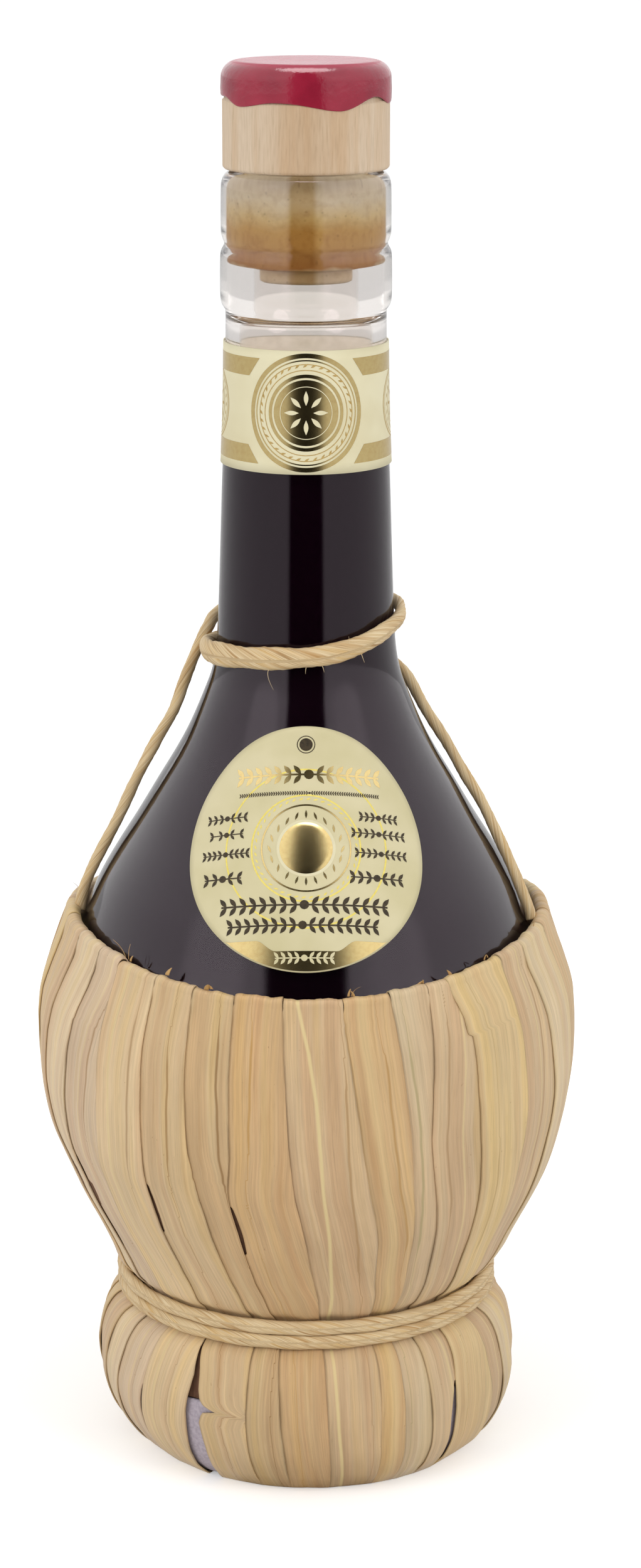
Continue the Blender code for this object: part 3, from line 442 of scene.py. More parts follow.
def make_stage():
    """A white floor that keeps the bottle's shadow, an even world, and two soft lamps from the front's two sides.

    Gloss sees a bright room with a dark gap on the side the bottle faces, and a lamp overhead. The camera and glass
    see white.
    """
    paint = new_material("painted_studio_floor")
    seen = add(paint, "LightPath", out=None)
    through = add(paint, "Math", (seen["Is Camera Ray"], seen["Is Transmission Ray"]), operation="MAXIMUM")
    lift = add(paint, "Math", (through, 0.36), operation="MULTIPLY")
    finish(paint, Roughness=0.9, Specular_IOR_Level=0.1, Base_Color="#F2F2F2", Emission_Color="#FFFFFF", Emission_Strength=lift)
    spot = add(paint, "SeparateXYZ", (add(paint, "TexCoord", out="Object"),), out=None)
    room = add(paint, "Math", (dark_gap(paint, spot["X"], spot["Y"]), 0.6), operation="MULTIPLY")
    nodes = paint.node_tree.nodes
    glow = add(paint, "Emission", {"Strength": room})
    both = add(paint, "MixShader", (seen["Is Glossy Ray"], nodes["Principled BSDF"].outputs[0], glow))
    give(paint, nodes["Material Output"], {"Surface": both})
    mesh = bpy.data.meshes.new("studio_floor")
    mesh.from_pydata([(-30, -30, 0), (30, -30, 0), (30, 30, 0), (-30, 30, 0)], [], [(0, 1, 2, 3)])
    mesh.materials.append(paint)
    floor = bpy.data.objects.new("studio_floor", mesh)
    bpy.context.scene.collection.objects.link(floor)

    world = bpy.data.worlds.new("studio")
    world.use_nodes = True
    bpy.context.scene.world = world
    seen = add(world, "LightPath", out=None)
    way = add(world, "SeparateXYZ", (add(world, "TexCoord", out="Generated"),), out=None)
    overhead = add(world, "MapRange", (way["Z"], 0.93, 0.95, 0.0, 8.5), interpolation_type="SMOOTHSTEP")
    higher = add(world, "MapRange", (way["Z"], 0.1, 0.5, 1.0, 1.2))
    walls = add(world, "Math", (dark_gap(world, way["X"], way["Y"]), higher), operation="MULTIPLY")
    room = add(world, "Math", (walls, overhead), operation="MAXIMUM")
    mirrored = add(world, "Mix", {0: seen["Is Glossy Ray"], 2: 0.72, 3: room})
    through = add(world, "Math", (seen["Is Camera Ray"], seen["Is Transmission Ray"]), operation="MAXIMUM")
    level = add(world, "Mix", {0: through, 2: mirrored, 3: 1.02})
    give(world, world.node_tree.nodes["Background"], {"Color": (1, 1, 1, 1), "Strength": level})

    for name, x in (("left_lamp", -0.9), ("right_lamp", 0.9)):
        lamp = bpy.data.lights.new(name, "AREA")
        lamp.shape = "DISK"
        lamp.size = 0.7
        lamp.energy = 4.6
        made = bpy.data.objects.new(name, lamp)
        made.location = (x, -0.75, 0.7)
        made.rotation_euler = (math.atan2(math.hypot(x, 0.75), 0.6), 0, math.atan2(x, 0.75))
        made.visible_glossy = False
        bpy.context.scene.collection.objects.link(made)


make_stage()


def husk_material():
    """Dry husk leaf: satin, with fine parallel veins, pale ribs and dark splits along it, painted shade along its
    margins and painted shade towards its foot.

    The leaf's UV holds the distances across and along it in millimetres. Its values are "tone", its own colour, "mark",
    the colour of its split, "rib" and "split", the distances from those, "rib_strength", "streaks", how much it is
    streaked, "margin", the distance from its nearer edge, and "seed", a number of its own.
    """
    made = new_material("dry_husk_leaf")
    spot = add(made, "SeparateXYZ", (add(made, "UVMap", uv_map="UVMap"),), out=None)
    names = ("seed", "rib", "split", "rib_strength", "streaks", "margin")
    seed, rib, split, rib_strength, streaks, margin = (add(made, "Attribute", out="Fac", attribute_name=n) for n in names)
    tone, mark = (add(made, "Attribute", attribute_name=name) for name in ("tone", "mark"))
    where = add(made, "CombineXYZ", (spot[0], spot[1], seed))

    # Veins stand 0.4 mm apart, bands are 1.1 and 3.3 mm wide, clouds 9 mm, and streaks 1 mm wide and 20 mm long
    veins, bands, broad, clouds, streak, specks = (
        pattern(made, scale, detail, where, Roughness=0.6)
        for scale, detail in (
            ((2.7, 0.035, 7.3), 5.0), ((0.9, 0.024, 4.1), 3.0), ((0.30, 0.010, 2.9), 1.0), ((0.11, 0.045, 1.7), 3.0),
            ((0.9, 0.045, 3.1), 4.0), ((1.7, 0.8, 5.0), 2.0),
        )
    )
    # Creases are thin lines of painted shade where the bands' noise crosses its middle
    off = add(made, "Math", (add(made, "Math", (bands, 0.5), operation="SUBTRACT"),), operation="ABSOLUTE")
    shade = add(made, "MapRange", (off, 0.0, 0.022, 0.92, 1.0))
    # Painted shade: each leaf is darker within 0.3 mm of its edges, by an amount that drifts with the clouds
    margin_painted_shade = add(made, "MapRange", (clouds, 0.42, 0.6, 0.78, 1.04))
    for part in (
        add(made, "MapRange", (veins, 0.3, 0.7, 0.87, 1.12)), add(made, "MapRange", (bands, 0.3, 0.7, 0.94, 1.06)),
        add(made, "MapRange", (broad, 0.3, 0.7, 0.96, 1.04)), add(made, "MapRange", (clouds, 0.3, 0.7, 0.94, 1.06)),
        add(made, "MapRange", (margin, 0.05, 0.30, margin_painted_shade, 1.0), interpolation_type="SMOOTHSTEP"),
        # Painted shade: darker towards the foot, from 86 to 102 mm along the leaf
        add(made, "MapRange", (spot[1], 86.0, 102.0, 1.0, 0.93)),
    ):
        shade = add(made, "Math", (part, shade), operation="MULTIPLY")
    warm = ramp(made, broad, ((0.36, "#FBF3EE"), (0.5, "#FFFFFF"), (0.64, "#FFFBEC")))
    tone = add(made, "MixRGB", (1.0, tone, warm), blend_type="MULTIPLY")
    colour = add(made, "VectorMath", {0: tone, "Scale": shade}, operation="SCALE")
    browned = ramp(made, streak, ((0.54, 0.0), (0.68, 0.5), (0.8, 0.9)))
    browned = add(made, "Math", (browned, streaks), operation="MULTIPLY")
    colour = add(made, "MixRGB", (browned, colour, "#AE8654"))
    colour = add(made, "MixRGB", (ramp(made, specks, ((0.73, 0.0), (0.80, 0.5))), colour, "#8A6A44"))
    for distance, reach, shown, strength in ((rib, 0.30, "#DBC791", rib_strength), (split, 0.36, mark, 0.8)):
        off = add(made, "Math", (distance,), operation="ABSOLUTE")
        line = add(made, "MapRange", (off, 0.06, reach, 1.0, 0.0), interpolation_type="SMOOTHSTEP")
        colour = add(made, "MixRGB", (add(made, "Math", (line, strength), operation="MULTIPLY"), colour, shown))
    bump = add(made, "Bump", {"Height": veins, "Strength": 0.7, "Distance": 0.00014})
    return finish(made, Roughness=0.5, Specular_IOR_Level=0.32, Base_Color=colour, Normal=bump)


def husk_values(size, tone, mark, **values):
    """What the husk's pattern asks for at each of a piece's points."""
    colours = {"tone": np.tile(linear(tone), (size, 1)), "mark": np.tile(linear(mark), (size, 1))}
    return {**colours, **{name: np.broadcast_to(np.ravel(value), size) for name, value in values.items()}}


def edge_table():
    """Azimuths of all thirty edges at the stations, from the base up, and which leaf is on top at each."""
    front = np.array([edge[:-1] for edge in FRONT_EDGES], float)
    back = LEAF_COUNT - len(front) + 1
    step = np.arange(1, back)[:, None]
    sweep = front[0] + 360 - front[-1]
    rest = front[-1] + sweep * step / back + 1.6 * np.sin(2.4 * step + 0.22 * np.arange(len(STATIONS)))
    on_top = [edge[-1] for edge in FRONT_EDGES] + [math.sin(5.1 * s) > 0 for s in range(1, back)]
    return np.vstack([front, rest])[:, ::-1], on_top


EDGES, RIGHT_ON_TOP = edge_table()
TUCK_ROWS, ARC_ROWS = 6, 16  # a leaf's rows behind the fold's cord, and those over it


def edge_azimuth(edge, height):
    """One edge's azimuth in radians at these heights: from station to station, with a small wander and steps."""
    turn, edge = divmod(edge, LEAF_COUNT)
    z = height / MM
    knots = np.radians(EDGES[edge])
    fine = smooth_line(np.stack([STATIONS, knots], axis=1), 200)
    line = 0.5 * (np.interp(height, fine[:, 0], fine[:, 1]) + np.interp(height, STATIONS, knots))
    line = line + 0.0016 * wander(z, 40 + edge, 38) + 0.0008 * wander(z, 340 + edge, 9)
    for number, foot, reach, size in EDGE_STEPS:
        if number == edge:
            rise = smoothstep(foot - 0.3, foot + 0.3, z) * np.clip((z - foot) / reach, 0.35, 1)
            line = line + math.radians(size) * rise
    return line + TURN * turn


def slit(edge, height):
    """How far a hidden leaf's margin is drawn back at these heights, from 0 to 1, and the slit's width there in metres."""
    z = height / MM
    drawn, wide = np.zeros_like(z), np.zeros_like(z)
    for number, low, high, width in SLITS:
        if number == edge % LEAF_COUNT:
            drawn = np.maximum(drawn, smoothstep(low - 1.5, low, z) * (1 - smoothstep(high, high + 1.5, z)))
            middle, half = (low + high) / 2, (high - low) / 2 + 1
            wide = np.maximum(wide, width * MM * np.clip(1 - ((z - middle) / half) ** 2, 0, 1) ** 0.7)
    return drawn, wide


def leaf_profile(fold_z, bend, rows):
    """The line that a leaf's outer face follows, as (radius, height), from its tuck over the rim down to its foot.

    It runs up behind the fold cord, over a part circle, down the straw's outline and in under the foot.
    """
    fold_r = straw_radius(fold_z) - bend
    tuck = np.stack([np.full(TUCK_ROWS, fold_r - bend), fold_z - np.linspace(0.0025, 0.0004, TUCK_ROWS)], axis=1)
    angle = np.radians(np.linspace(180, 8, ARC_ROWS))
    arc = np.stack([fold_r + bend * np.cos(angle), fold_z + bend * np.sin(angle)], axis=1)
    height = np.linspace(fold_z, 0.0009, rows)
    side = np.stack([straw_radius(height), height], axis=1)
    foot = smooth_line([side[-1], (0.0306, 0.00025), (0.0288, 0.00002), (0.0222, 0.00002)], 14)[1:]
    return np.vstack([tuck, arc, side, foot])


def leaf_relief(number, across, v, width):
    """A leaf's folds and waves, in mm: three sharp-crested folds along it, fine pleats, and a slow wave down it.

    Each fold is a tent: it falls in straight lines from its crest to nothing at a set distance on both sides.
    """
    rng = np.random.default_rng(700 + number)
    relief = 0.035 * wander(across + 0.3 * wander(v, 130 + number, 60), 170 + number, 2.2)
    for share, size in zip((0.22, 0.5, 0.78), rng.uniform(-0.13, 0.16, 3)):
        crest = width * (share + rng.uniform(-0.07, 0.07)) + 0.35 * wander(v, rng.integers(1000), 90)
        relief = relief + size * np.clip(1 - np.abs(across - crest) / rng.uniform(1.6, 2.6), 0, 1)
    return relief + 0.07 * wander(v + 1.5 * across, 210 + number, 42)


def leaf_shape(number, rows=170, columns=31):
    """One leaf's outer face as a grid, with its UV in mm and its own values for the husk's pattern.

    Along it, the face follows leaf_profile. Across it, its azimuth goes from its left edge to its right. It sinks under
    the leaf beside it where that one is on top, bows out a little between its edges, and carries leaf_relief. The rim
    rises towards the sides, so the rows near it rise too, and the foot stands a little off the axis.
    """
    rng = np.random.default_rng(500 + number)
    beside = (number + 1) % LEAF_COUNT
    tone, rib_place, rib_strength, streaks, rib_width = LEAF_LOOKS[beside % len(LEAF_LOOKS)]
    middle = math.radians((EDGES[number, -1] + EDGES[beside, -1] + (0 if beside else 360)) / 2)
    fold_z = RIM_FRONT + RIM_RISE * math.sin(middle) ** 2 + 0.0002 * rng.uniform(-1, 1) - RIM_BEND
    rows = rows * 2 if number in (TORN_LEFT, TORN_RIGHT) else rows
    line = leaf_profile(fold_z, RIM_BEND + 0.00008 * rng.uniform(), rows)
    step = unit(np.gradient(line, axis=0))
    z, radius = np.clip(line[:, 1:2], 0, None), np.maximum(line[:, 0:1], 0.02)
    on_side = smoothstep(0.0002, 0.0030, fold_z - z) * smoothstep(0.0004, 0.0030, z)
    on_side[:TUCK_ROWS + ARC_ROWS] = 0

    # Its edges, and how far it laps past each under its neighbour; the torn leaves end at the hole between them
    on_top = RIGHT_ON_TOP[number], not RIGHT_ON_TOP[beside]
    edges, laps = [], []
    for side, gap in ((0, 0.00006), (1, -0.00006)):
        edge = edge_azimuth(number + side, z) + gap / radius
        drawn, wide = slit(number + side, z)
        lap = 0 if on_top[side] else (0.0021 * on_side * (1 - drawn) - wide * (drawn > 0)) / radius
        if (number, side) in ((TORN_LEFT, 1), (TORN_RIGHT, 0)):
            above = smoothstep(0.0277, 0.030, z)
            hole = np.radians(np.interp(z / MM, *np.transpose(TORN_HOLE)[[0, 2 - side]]))
            edge, lap = hole * (1 - above) + edge * above, lap * smoothstep(0.028, 0.031, z)
        edges.append(edge)
        laps.append(lap)
    left, right = edges
    azimuth = left - laps[0] + (right + laps[1] - left + laps[0]) * np.linspace(0, 1, columns)
    inner = np.clip((azimuth - left) / (right - left), 0, 1)
    level = on_top[0] + (float(on_top[1]) - on_top[0]) * smoothstep(0.0, 1.0, inner)
    width, across = (right - left) * radius / MM, (azimuth - left) * radius / MM
    v = np.broadcast_to(run_along(line)[:, None] / MM, across.shape)
    whole = math.radians((EDGES[beside, -2] - EDGES[number, -2]) % 360) * radius / MM

    relief = leaf_relief(number, across, v, whole) + 0.09 * (1 - (2 * inner - 1) ** 2)
    relief *= np.minimum(1, 4 * inner * (1 - inner) + 0.35) * (0.25 + 0.75 * on_side)
    from_rib = across - rib_place * whole - 0.3 * wander(v, 90 + number, 110)
    if number == MIDDLE_LEAF:
        from_rib = (azimuth - np.radians(np.interp(z / MM, *np.transpose(MIDDLE_RIB)))) * radius / MM
    from_rib = from_rib / rib_width
    relief += 0.06 * rib_strength * np.exp(-(from_rib / 0.3) ** 2) * on_side
    relief += 0.22 * np.clip(1 - np.abs(z / MM - rng.uniform(13, 20)) / 5, 0, 1)
    split, mark = NO_SPLIT, PLAIN_MARK
    for leaf, split_place, low, high, shade in SPLITS:
        if leaf == number:
            ends = 1 - smoothstep(low, low + 7, z / MM) * (1 - smoothstep(high - 7, high, z / MM))
            split = across - split_place * whole - 0.35 * wander(v, 190 + number, 60)
            split, mark = split + np.sign(split) * 0.6 * ends, shade
    depth = LEVEL_STEP * (1 - level) * on_side - relief * MM

    # A leaf runs straighter across than the bottle's round, most of all at the foot
    flat, half = 0.35 + 0.65 * (1 - smoothstep(0.020, 0.032, z)), (right - left) / 2
    aside = np.clip(azimuth - (left + right) / 2, -half, half)
    chord = 1 - flat * np.clip(1 - np.cos(half) / np.cos(aside), 0, 0.012)
    swing = RIM_RISE * (np.sin(azimuth) ** 2 - math.sin(middle) ** 2) * smoothstep(0.066, fold_z, z)
    swing += 0.00022 * wander(azimuth * 46, 77, 6.5) * smoothstep(0.088, fold_z, z)
    low = np.minimum(line[:, 1:2], fold_z)
    r = (line[:, 0:1] + straw_radius(low + swing) - straw_radius(low)) * chord + step[:, 1:2] * depth
    h = line[:, 1:2] + swing - step[:, 0:1] * depth
    points = shift_foot(place(azimuth, r, np.maximum(h, 0.00001)))
    # The left side is a little slimmer than the right, and the part above the waist stands a little to the right
    x, h = points[..., 0], points[..., 2]
    slimmer = np.interp(h, (0.040, 0.058, 0.070, 0.082, 0.091), (0, 0.009, 0.002, 0.002, 0.012))
    x *= 1 - slimmer * smoothstep(0.0, 0.02, -x)
    x += 0.0006 * smoothstep(0.034, 0.040, h) * (1 - smoothstep(0.052, 0.064, h))
    return points, np.stack([across, v], axis=-1), husk_values(
        across.size, tone, mark, rib=from_rib, split=split, rib_strength=rib_strength, streaks=streaks,
        seed=1.37 * number, margin=np.minimum(across, width - across),
    )


def make_leaves():
    """Thirty husk leaves, each a grid with a thin wall added behind it."""
    husk = husk_material()
    for number in range(LEAF_COUNT):
        points, uv, values = leaf_shape(number)
        name, node = f"husk_leaf_{number + 1:02d}", f"straw_leaf_{number + 1:02d}"
        leaf = make_piece(name, points, grid_faces(*points.shape[:2]), husk, "leaf", (node,), uv, values)
        wall = leaf.modifiers.new("wall", "SOLIDIFY")
        wall.thickness = 0.00026
        wall.offset = -1


make_leaves()


def glass_material():
    """Clear soda-lime glass, blown in a mould: sharp reflections, bent a little by its slow waves, faintly pinkish."""
    made = new_material("blown_soda_lime_glass")
    bump = add(made, "Bump", {"Height": pattern(made, 45.0, 0.0), "Strength": 0.25, "Distance": 0.0003})
    return finish(
        made, Roughness=0.08, IOR=1.5, Transmission_Weight=1.0, Base_Color="#F1ECE8", Specular_Tint="#FFEFFA", Normal=bump,
    )


def make_bottle():
    """The glass as one closed wall, and the vinegar, which reaches 0.1 mm into the wall so that no air shows."""
    outside, inside = smooth_line(GLASS_MM, 420) * MM, smooth_line(INSIDE_MM, 360) * MM
    wall = np.vstack([[(AXIS, 0.001)], outside, inside[::-1], [(AXIS, 0.005)]])
    make_turned("clear_bottle", wall, glass_material(), "glass", "glass_bottle")
    # Dark aged vinegar is all but black, with a cast of dark plum
    plum = ((0.35, "#130410"), (0.65, "#180714"))
    dark = grained("dark_vinegar", 25.0, 1.0, plum, Roughness=0.5, Specular_IOR_Level=0.0)
    full = inside[inside[:, 1] < FILL_HEIGHT] + (0.0001, 0)
    body = np.vstack([[(AXIS, 0.00496)], full, [(full[-1, 0], FILL_HEIGHT), (AXIS, FILL_HEIGHT)]])
    make_turned("vinegar", body, dark, "vinegar", "vinegar_fill")


def wood_material():
    """Plain turned beech: very pale and dull, with fine grain and short flecks up the head, and painted shade down its
    front and back.
    """
    made = new_material("turned_beech")
    grain, bands = pattern(made, (3000, 3000, 260), 4.0), pattern(made, (420, 420, 22), 2.0)
    pale = ramp(made, grain, ((0.3, "#C2AD93"), (0.45, "#CBB69D"), (0.58, "#CFBAA1"), (0.75, "#D3C0A8")))
    warm = ramp(made, bands, ((0.35, "#F8F0E6"), (0.6, "#FFFFFF")))
    colour = add(made, "MixRGB", (1.0, pale, warm), blend_type="MULTIPLY")
    # Painted shade: the wood is darker within about 9 mm of the plane through the axis that faces front
    x = add(made, "SeparateXYZ", (add(made, "TexCoord", out="Object"),), out="X")
    off = add(made, "Math", (add(made, "Math", (x,), operation="ABSOLUTE"), 100.0), operation="MULTIPLY")
    painted_front_shade = ramp(made, off, ((0.1, "#EBE1D5"), (0.95, "#FFFFFF")))
    colour = add(made, "MixRGB", (1.0, colour, painted_front_shade), blend_type="MULTIPLY")
    bump = add(made, "Bump", {"Height": grain, "Strength": 0.35, "Distance": 0.00006})
    return finish(made, Roughness=0.6, Specular_IOR_Level=0.25, Base_Color=colour, Normal=bump)


def wax_material():
    """Dipped sealing wax: deep raspberry red, glossy, with soft pools and fine pits that break up its highlights.

    Its top, which is seen at a low angle, is duller than its side, and painted a paler pink as a painted sheen.
    """
    made = new_material("dipped_sealing_wax")
    pools, pits = pattern(made, 130.0, 2.0), pattern(made, 900.0, 3.0)
    red = ramp(made, pools, ((0.3, "#82172D"), (0.5, "#901C33"), (0.7, "#9B243B")))
    bump = add(made, "Bump", {"Height": pools, "Strength": 0.4, "Distance": 0.0003})
    fine = add(made, "Bump", {"Height": pits, "Strength": 0.5, "Distance": 0.00012, "Normal": bump})
    height = add(made, "SeparateXYZ", (add(made, "TexCoord", out="Object"),), out="Z")
    top = add(made, "MapRange", (height, 0.2530, 0.2535, 0.0, 1.0))
    shine = add(made, "MapRange", (top, 0.0, 1.0, 0.5, 0.03))
    # Painted sheen: the top is mixed to a paler pink in place of the reflection it loses
    red = add(made, "MixRGB", (top, red, "#AE3A50"))
    return finish(made, Roughness=0.17, Specular_IOR_Level=shine, Base_Color=red, Normal=fine)


def cork_material():
    """Natural cork: dull, pale under the head, orange brown below and greyed at its foot, with 0.5 mm dark pores."""
    made = new_material("natural_cork")
    spot = add(made, "TexCoord", out="Object")
    places = add(made, "SeparateXYZ", (spot,), out=None)
    cells, clouds = pattern(made, 700.0, 3.0), pattern(made, 150.0, 2.0)
    pores = add(made, "TexVoronoi", {"Vector": spot, "Scale": 620.0})
    lifted = add(made, "Math", (clouds, 0.004, places["Z"]), operation="MULTIPLY_ADD")
    brown = ramp(made, add(made, "MapRange", (lifted, 0.2180, 0.2380, 0.0, 1.0)), (
        (0.0, "#E6D0AE"), (0.11, "#DCC09A"), (0.14, "#C08A54"), (0.25, "#D09E62"), (0.46, "#DCAE68"), (0.58, "#EDD096"),
        (0.72, "#EDDCBE"), (1.0, "#E8D6B8"),
    ))
    grain = ramp(made, cells, ((0.3, "#DCCBB8"), (0.55, "#FFFFFF")))
    colour = add(made, "MixRGB", (0.42, brown, grain), blend_type="MULTIPLY")
    # A strip down its front is painted a little darker: painted shade for the dark reflection band in the glass over it
    off = add(made, "Math", (places["X"], 0.0006), operation="ADD")
    off = add(made, "Math", (off,), operation="ABSOLUTE")
    pressed = add(made, "MapRange", (off, 0.0014, 0.0026, 0.9, 0.0), interpolation_type="SMOOTHSTEP")
    colour = add(made, "MixRGB", (pressed, colour, "#DCCBAC"), blend_type="MULTIPLY")
    hole = ramp(made, pores, ((0.08, "#8B6A48"), (0.16, "#FFFFFF")))
    colour = add(made, "MixRGB", (0.22, colour, hole), blend_type="MULTIPLY")
    bump = add(made, "Bump", {"Height": cells, "Strength": 0.3, "Distance": 0.00015})
    return finish(made, Roughness=0.85, Specular_IOR_Level=0.1, Base_Color=colour, Normal=bump)


# The wax's lower edge: azimuth, and its height between its lowest place and its highest
WAX_EDGE = (
    (-90, 0.9), (-72, 1.0), (-50, 0.15), (-21, 0.75), (22, 0.0), (54, 1.0), (76, 0.35), (100, 0.8), (132, 0.1), (165, 0.9),
    (200, 0.15), (235, 0.85), (270, 0.9),
)


def wax_wave(azimuth, profile):
    """How far the wax's lip stands above its lowest place, in half cosines. The wave fades out up the side."""
    wrapped = (np.degrees(azimuth) + 90) % 360 - 90
    at, level = np.array(WAX_EDGE, float).T
    index = np.clip(np.searchsorted(at, wrapped, side="right") - 1, 0, len(at) - 2)
    ease = (1 - np.cos(np.pi * (wrapped - at[index]) / (at[index + 1] - at[index]))) / 2
    wave = 0.0019 * (level[index] + (level[index + 1] - level[index]) * ease) + 0.00012 * np.sin(7 * azimuth + 1)
    return wave * (1 - smoothstep(0.2462, 0.2500, profile[:, 1:2]))


def make_stopper():
    """The turned head with its eased foot, the wax over it with a thick rounded lip, and the stepped cork under it."""
    head = [
        (AXIS, 0.2351), (0.0139, 0.2351), (0.01425, 0.23518), (0.01452, 0.23545),
        *[(0.0146, z) for z in np.linspace(0.2357, 0.2470, 30)],
        (0.0143, 0.2472), (0.0142, 0.2500), (0.0115, 0.2523), (AXIS, 0.2525),
    ]
    make_turned("beech_head", head, wood_material(), "wood", "stopper_head", "stopper")

    arc, bend = np.radians(np.linspace(0, 88, 22)), 0.0029
    top = np.stack([0.01483 - bend + bend * np.sin(arc), 0.2537 - bend + bend * np.cos(arc)], axis=1)
    s = np.linspace(0, 1, 16)
    wall = np.stack([0.01486 + 0.00004 * np.sin(np.pi * s), 0.2500 - 0.0034 * s], axis=1)
    lip = [(0.01487, 0.24635), (0.01484, 0.24615), (0.01477, 0.24602), (0.01467, 0.2460), (0.01461, 0.24612), (0.0146, 0.2464)]
    inner = [(0.0146, 0.2470), (0.0144, 0.2505), (0.0120, 0.25275), (AXIS, 0.2528)]
    cap = np.vstack([[(AXIS, 0.25362), (0.004, 0.25364), (0.008, 0.25367)], top, wall, lip, inner])
    make_turned("wax_dip", cap, wax_material(), "wax", "wax_cap", "stopper", 192, wax_wave)

    # The shank presses 0.04 mm into the bore, so that no film of air shows between them
    shank = [
        (AXIS, 0.2159), (0.0078, 0.2159), (0.0081, 0.2161), (0.00815, 0.2166), (0.00815, 0.2181), (0.0083, 0.2183),
        (0.0090, 0.2183), (0.00925, 0.2185), (0.00929, 0.2190), *[(0.00929, z) for z in np.linspace(0.2194, 0.2340, 20)],
        (0.00929, 0.2345), (0.00925, 0.2350), (AXIS, 0.2351),
    ]
    make_turned("stepped_cork", shank, cork_material(), "cork", "cork_shank", "stopper")


make_bottle()
make_stopper()


def paper_material(name, shade, deep):
    """Coated label paper: cream, smooth, with a faint fibre and a slight unevenness from the glue."""
    made = new_material(name)
    cloud, fibre = pattern(made, 120.0, 2.0), pattern(made, 2200.0, 3.0)
    bump = add(made, "Bump", {"Height": cloud, "Strength": 0.12, "Distance": 0.0003})
    bump = add(made, "Bump", {"Height": fibre, "Strength": 0.15, "Distance": 0.00005, "Normal": bump})
    cream = ramp(made, cloud, ((0.3, deep), (0.65, shade)))
    return finish(made, Roughness=0.5, Specular_IOR_Level=0.4, Base_Color=cream, Normal=bump)


def ink_material(name, shade, deep):
    """Offset printing ink: a thin even film, slightly broken by the paper's grain."""
    return grained(name, 1800.0, 2.0, ((0.35, deep), (0.6, shade)), Roughness=0.55, Specular_IOR_Level=0.3)


# Hot-stamped gold foil is a smooth pale gold mirror, faintly broken by the paper's fibres beneath it
FOIL_SHADES = ((0.3, "#C9B078"), (0.6, "#CFB981"))
FOIL = grained("stamped_gold_foil", 1400.0, 3.0, FOIL_SHADES, (0.025, 0.00003), Metallic=1.0, Roughness=0.24)
NECK_PAPER = paper_material("coated_neck_paper", "#DDD5B3", "#D5CBA6")
BODY_PAPER = paper_material("coated_label_paper", "#D1C7A1", "#C7BD93")
GLASS_LINE = smooth_line(GLASS_MM, 1600) * MM
GLASS_STEP = unit(np.gradient(GLASS_LINE, axis=0))
GLASS_RUN = run_along(GLASS_LINE)
LABEL_RUN = float(np.interp(0.1202, GLASS_LINE[:, 1], GLASS_RUN))  # how far up the glass the round label's centre is
NECK_WRAP = 14.8  # the neck's radius under its label in mm, and the label's length
NECK_ROUND = TURN * NECK_WRAP


def on_shoulder(u, v, lift):
    """Places of the round label's points, in mm right and up of its centre, laid on the shoulder as on a cone."""
    slope, apex = 0.4977, 0.030253 / 0.4977
    u, v = np.asarray(u, float) * MM, np.asarray(v, float) * MM
    turn = np.arctan2(u, apex - v) / slope
    run = LABEL_RUN + apex - np.hypot(u, apex - v)
    radius, height = (np.interp(run, GLASS_RUN, GLASS_LINE[:, i]) for i in (0, 1))
    step_r, step_z = (np.interp(run, GLASS_RUN, GLASS_STEP[:, i]) for i in (0, 1))
    return place(turn, radius + step_z * lift, height - step_r * lift)


def on_neck(u, v, lift):
    """Places of the neck label's points, in mm right and up of its middle, wrapped round the neck."""
    height = 0.1944 + np.asarray(v, float) * MM
    radius = np.interp(height, GLASS_LINE[:, 1], GLASS_LINE[:, 0])
    return place(np.asarray(u, float) / NECK_WRAP, radius + lift, height)


def on_boss(u, v, lift):
    """on_shoulder, with the foil boss pressed up into a low dome whose top is a little right of its middle."""
    dome = 0.34 * np.clip(1 - ((u - 0.7) ** 2 + v ** 2) / 5.4 ** 2, 0, 1) * smoothstep(4.65, 4.2, np.hypot(u, v))
    return on_shoulder(u, v, lift + dome * MM)


def ring_part(inner, outer, u=0.0, v=0.0, steps=96):
    """A flat ring on a label, in mm, as grids of u and v, fine enough to bend with the glass."""
    angle = np.linspace(0, TURN, steps + 1)[None, :]
    radius = np.linspace(inner, outer, 3 + int((outer - inner) / 0.4))[:, None]
    return u + radius * np.sin(angle), v + radius * np.cos(angle)


def leaf_part(u, v, length, width, turn):
    """A pointed leaf on a label: its half width is a sine of the way along it."""
    s = np.linspace(0, 1, 10)[None, :]
    side = np.linspace(-1, 1, 3)[:, None] * width / 2 * np.sin(np.pi * np.clip(s, 0.02, 0.98))
    along, angle = s * length, math.radians(turn)
    return u + along * math.cos(angle) - side * math.sin(angle), v + along * math.sin(angle) + side * math.cos(angle)


def leaf_ring(count, reach, length, width, turn, u=0.0, v=0.0, aside=0.0, spin=-1):
    """Leaves evenly round a circle, moved aside along it. With spin at 0 they all point the same way."""
    return [
        leaf_part(
            u + reach * math.sin(a) - aside * math.cos(a), v + reach * math.cos(a) + aside * math.sin(a),
            length, width, turn + spin * math.degrees(a),
        )
        for a in around(count)
    ]


def bar_part(corners):
    """A four-cornered bar on a label, between its lower and its upper edge."""
    (a, b, c, d), s = np.asarray(corners, float), np.linspace(0, 1, 24)[None, :, None]
    low, high = a + (b - a) * s, d + (c - d) * s
    flat = low + (high - low) * np.linspace(0, 1, 7)[:, None, None]
    return flat[..., 0], flat[..., 1]


